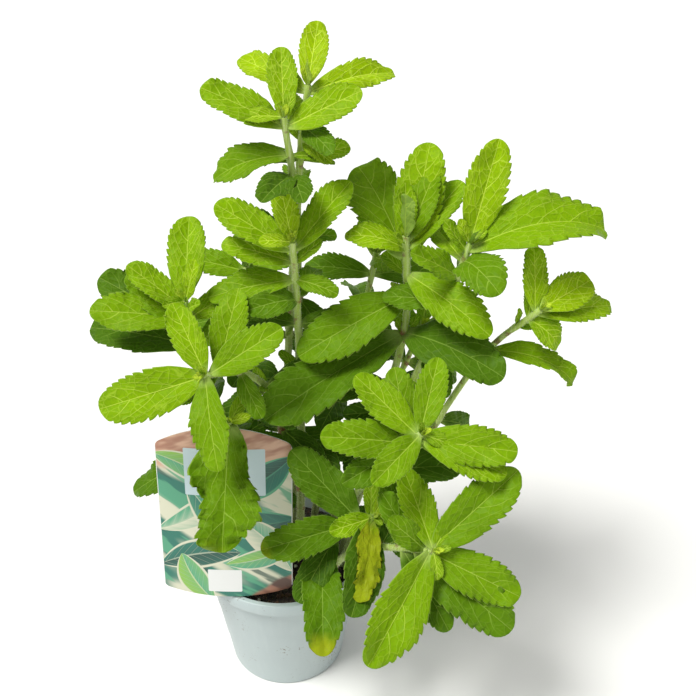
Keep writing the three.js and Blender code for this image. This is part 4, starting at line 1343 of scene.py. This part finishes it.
def makeCard():
    columns, rows = cardShape["columns"], cardShape["rows"]
    acrosses = [math.sin(math.pi / 2 * (2 * i / columns - 1)) for i in range(columns + 1)]
    flat = [cardPoint(across, j / rows) for j in range(rows + 1) for across in acrosses]
    corners = [j * (columns + 1) + i for j in range(rows) for i in range(columns)]
    faces = [(corner, corner + 1, corner + columns + 2, corner + columns + 1) for corner in corners]
    mesh = bpy.data.meshes.new("cardFront")
    mesh.from_pydata([cardPlaced(*point) for point in flat], [], faces)
    printed = mesh.attributes.new("printPlace", "FLOAT_VECTOR", "POINT")
    printed.data.foreach_set("vector", np.array([(x, z, 0) for x, _, z in flat], np.float32).ravel())
    for material in (printMaterial(), cardBackMaterial()):
        mesh.materials.append(material)
    front = objectOf("cardFront", mesh)
    backs = {"material_offset": 1, "material_offset_rim": 1}
    modify(front, "SOLIDIFY", thickness=cardShape["thick"], offset=-1, **backs)
    modify(front, "BEVEL", width=cardShape["bevel"], segments=2, limit_method="ANGLE")
    card = evaluated(front)
    bpy.data.objects.remove(front)
    form = bmesh.new()
    form.from_mesh(card)
    addStake(form)
    form.to_mesh(card)
    form.free()
    finished("pictureCard", smoothed(card, 30), "card", "picture_card")


def addStake(form):
    top, end = np.array(cardShape["stakeTop"]), np.array(cardShape["stakeEnd"])
    up = unit(top - end)
    side = unit(np.cross(up, (0, 1.0, 0)))
    front = np.cross(side, up)
    half, thick, point = cardShape["stakeWidth"] / 2, cardShape["stakeThick"] / 2, cardShape["stakePoint"]
    length = np.linalg.norm(top - end)
    outline = [(-half, 0), (-half, point - length), (0, -length), (half, point - length), (half, 0)]
    layers = []
    edge = cardShape["stakeBevel"]
    for depth, shrink in ((-thick, edge), (-thick + edge, 0), (thick - edge, 0), (thick, edge)):
        layer = []
        for x, z in outline:
            x -= math.copysign(shrink, x) if x else 0
            z += shrink if z < 0 else 0
            layer.append(form.verts.new(top + side * x + up * z + front * depth))
        layers.append(layer)
    count = len(outline)
    made = [form.faces.new(layers[0]), form.faces.new(layers[-1][::-1])]
    for lower, upper in zip(layers, layers[1:]):
        for k in range(count):
            made.append(form.faces.new((upper[k], upper[(k + 1) % count], lower[(k + 1) % count], lower[k])))
    for face in made:
        face.material_index = 1
    bmesh.ops.recalc_face_normals(form, faces=made)


makeCard()
print("card is made")


# Studio

studio = {
    "cameraPlace": (38.5 * mm, -430 * mm, 485 * mm),
    "cameraPitch": 31.5 * degree,  # below the horizon
    "focalPixels": 956,
    "imagePixels": 696,
    "sensor": 36,
    "floorSide": 12,
    "floorTone": (0.90, 0.90, 0.89),
    "sky": (1.0, 1.0, 0.99),
    "skyStrength": 0.5,
    "keyFrom": (-0.7, -0.5, 1.6),  # the direction that the large soft light comes from
    "keySize": 22 * degree,
    "keyStrength": 3.1,
    "keyTint": (1.0, 0.99, 0.95),
}


def layFloor():
    half = studio["floorSide"] / 2
    mesh = bpy.data.meshes.new("floor")
    corners = [(x * half, y * half, 0) for x, y in ((-1, -1), (1, -1), (1, 1), (-1, 1))]
    mesh.from_pydata(corners, [], [(0, 1, 2, 3)])
    material = newMaterial("paleFloor")
    darker = [0.985 * value for value in studio["floorTone"]]
    colour = mixed(noiseAt(objectPlace(), 3.0), studio["floorTone"], darker)
    mesh.materials.append(surfaced(material, colour, 0.7))
    objectOf("floor", mesh)


def placeCamera():
    camera = bpy.data.objects.new("camera", bpy.data.cameras.new("camera"))
    scene.collection.objects.link(camera)
    camera.location = studio["cameraPlace"]
    camera.rotation_euler = (math.pi / 2 - studio["cameraPitch"], 0, 0)
    camera.data.sensor_width = studio["sensor"]
    camera.data.lens = studio["focalPixels"] / studio["imagePixels"] * studio["sensor"]
    camera.data.clip_start = 0.01
    scene.camera = camera


def hangLights():
    x, y, z = studio["keyFrom"]
    light = bpy.data.lights.new("keyLight", "SUN")
    light.angle = studio["keySize"]
    light.energy = studio["keyStrength"]
    light.color = studio["keyTint"]
    lamp = bpy.data.objects.new(light.name, light)
    lamp.rotation_euler = (math.atan2(math.hypot(x, y), z), 0, math.atan2(x, -y))
    scene.collection.objects.link(lamp)
    world = bpy.data.worlds.new("paleRoom")
    world.use_nodes = True
    sky = world.node_tree.nodes["Background"]
    sky.inputs["Color"].default_value = (*studio["sky"], 1)
    sky.inputs["Strength"].default_value = studio["skyStrength"]
    scene.world = world
    scene.view_settings.view_transform = "Standard"


layFloor()
placeCamera()
hangLights()
print("studio is set")
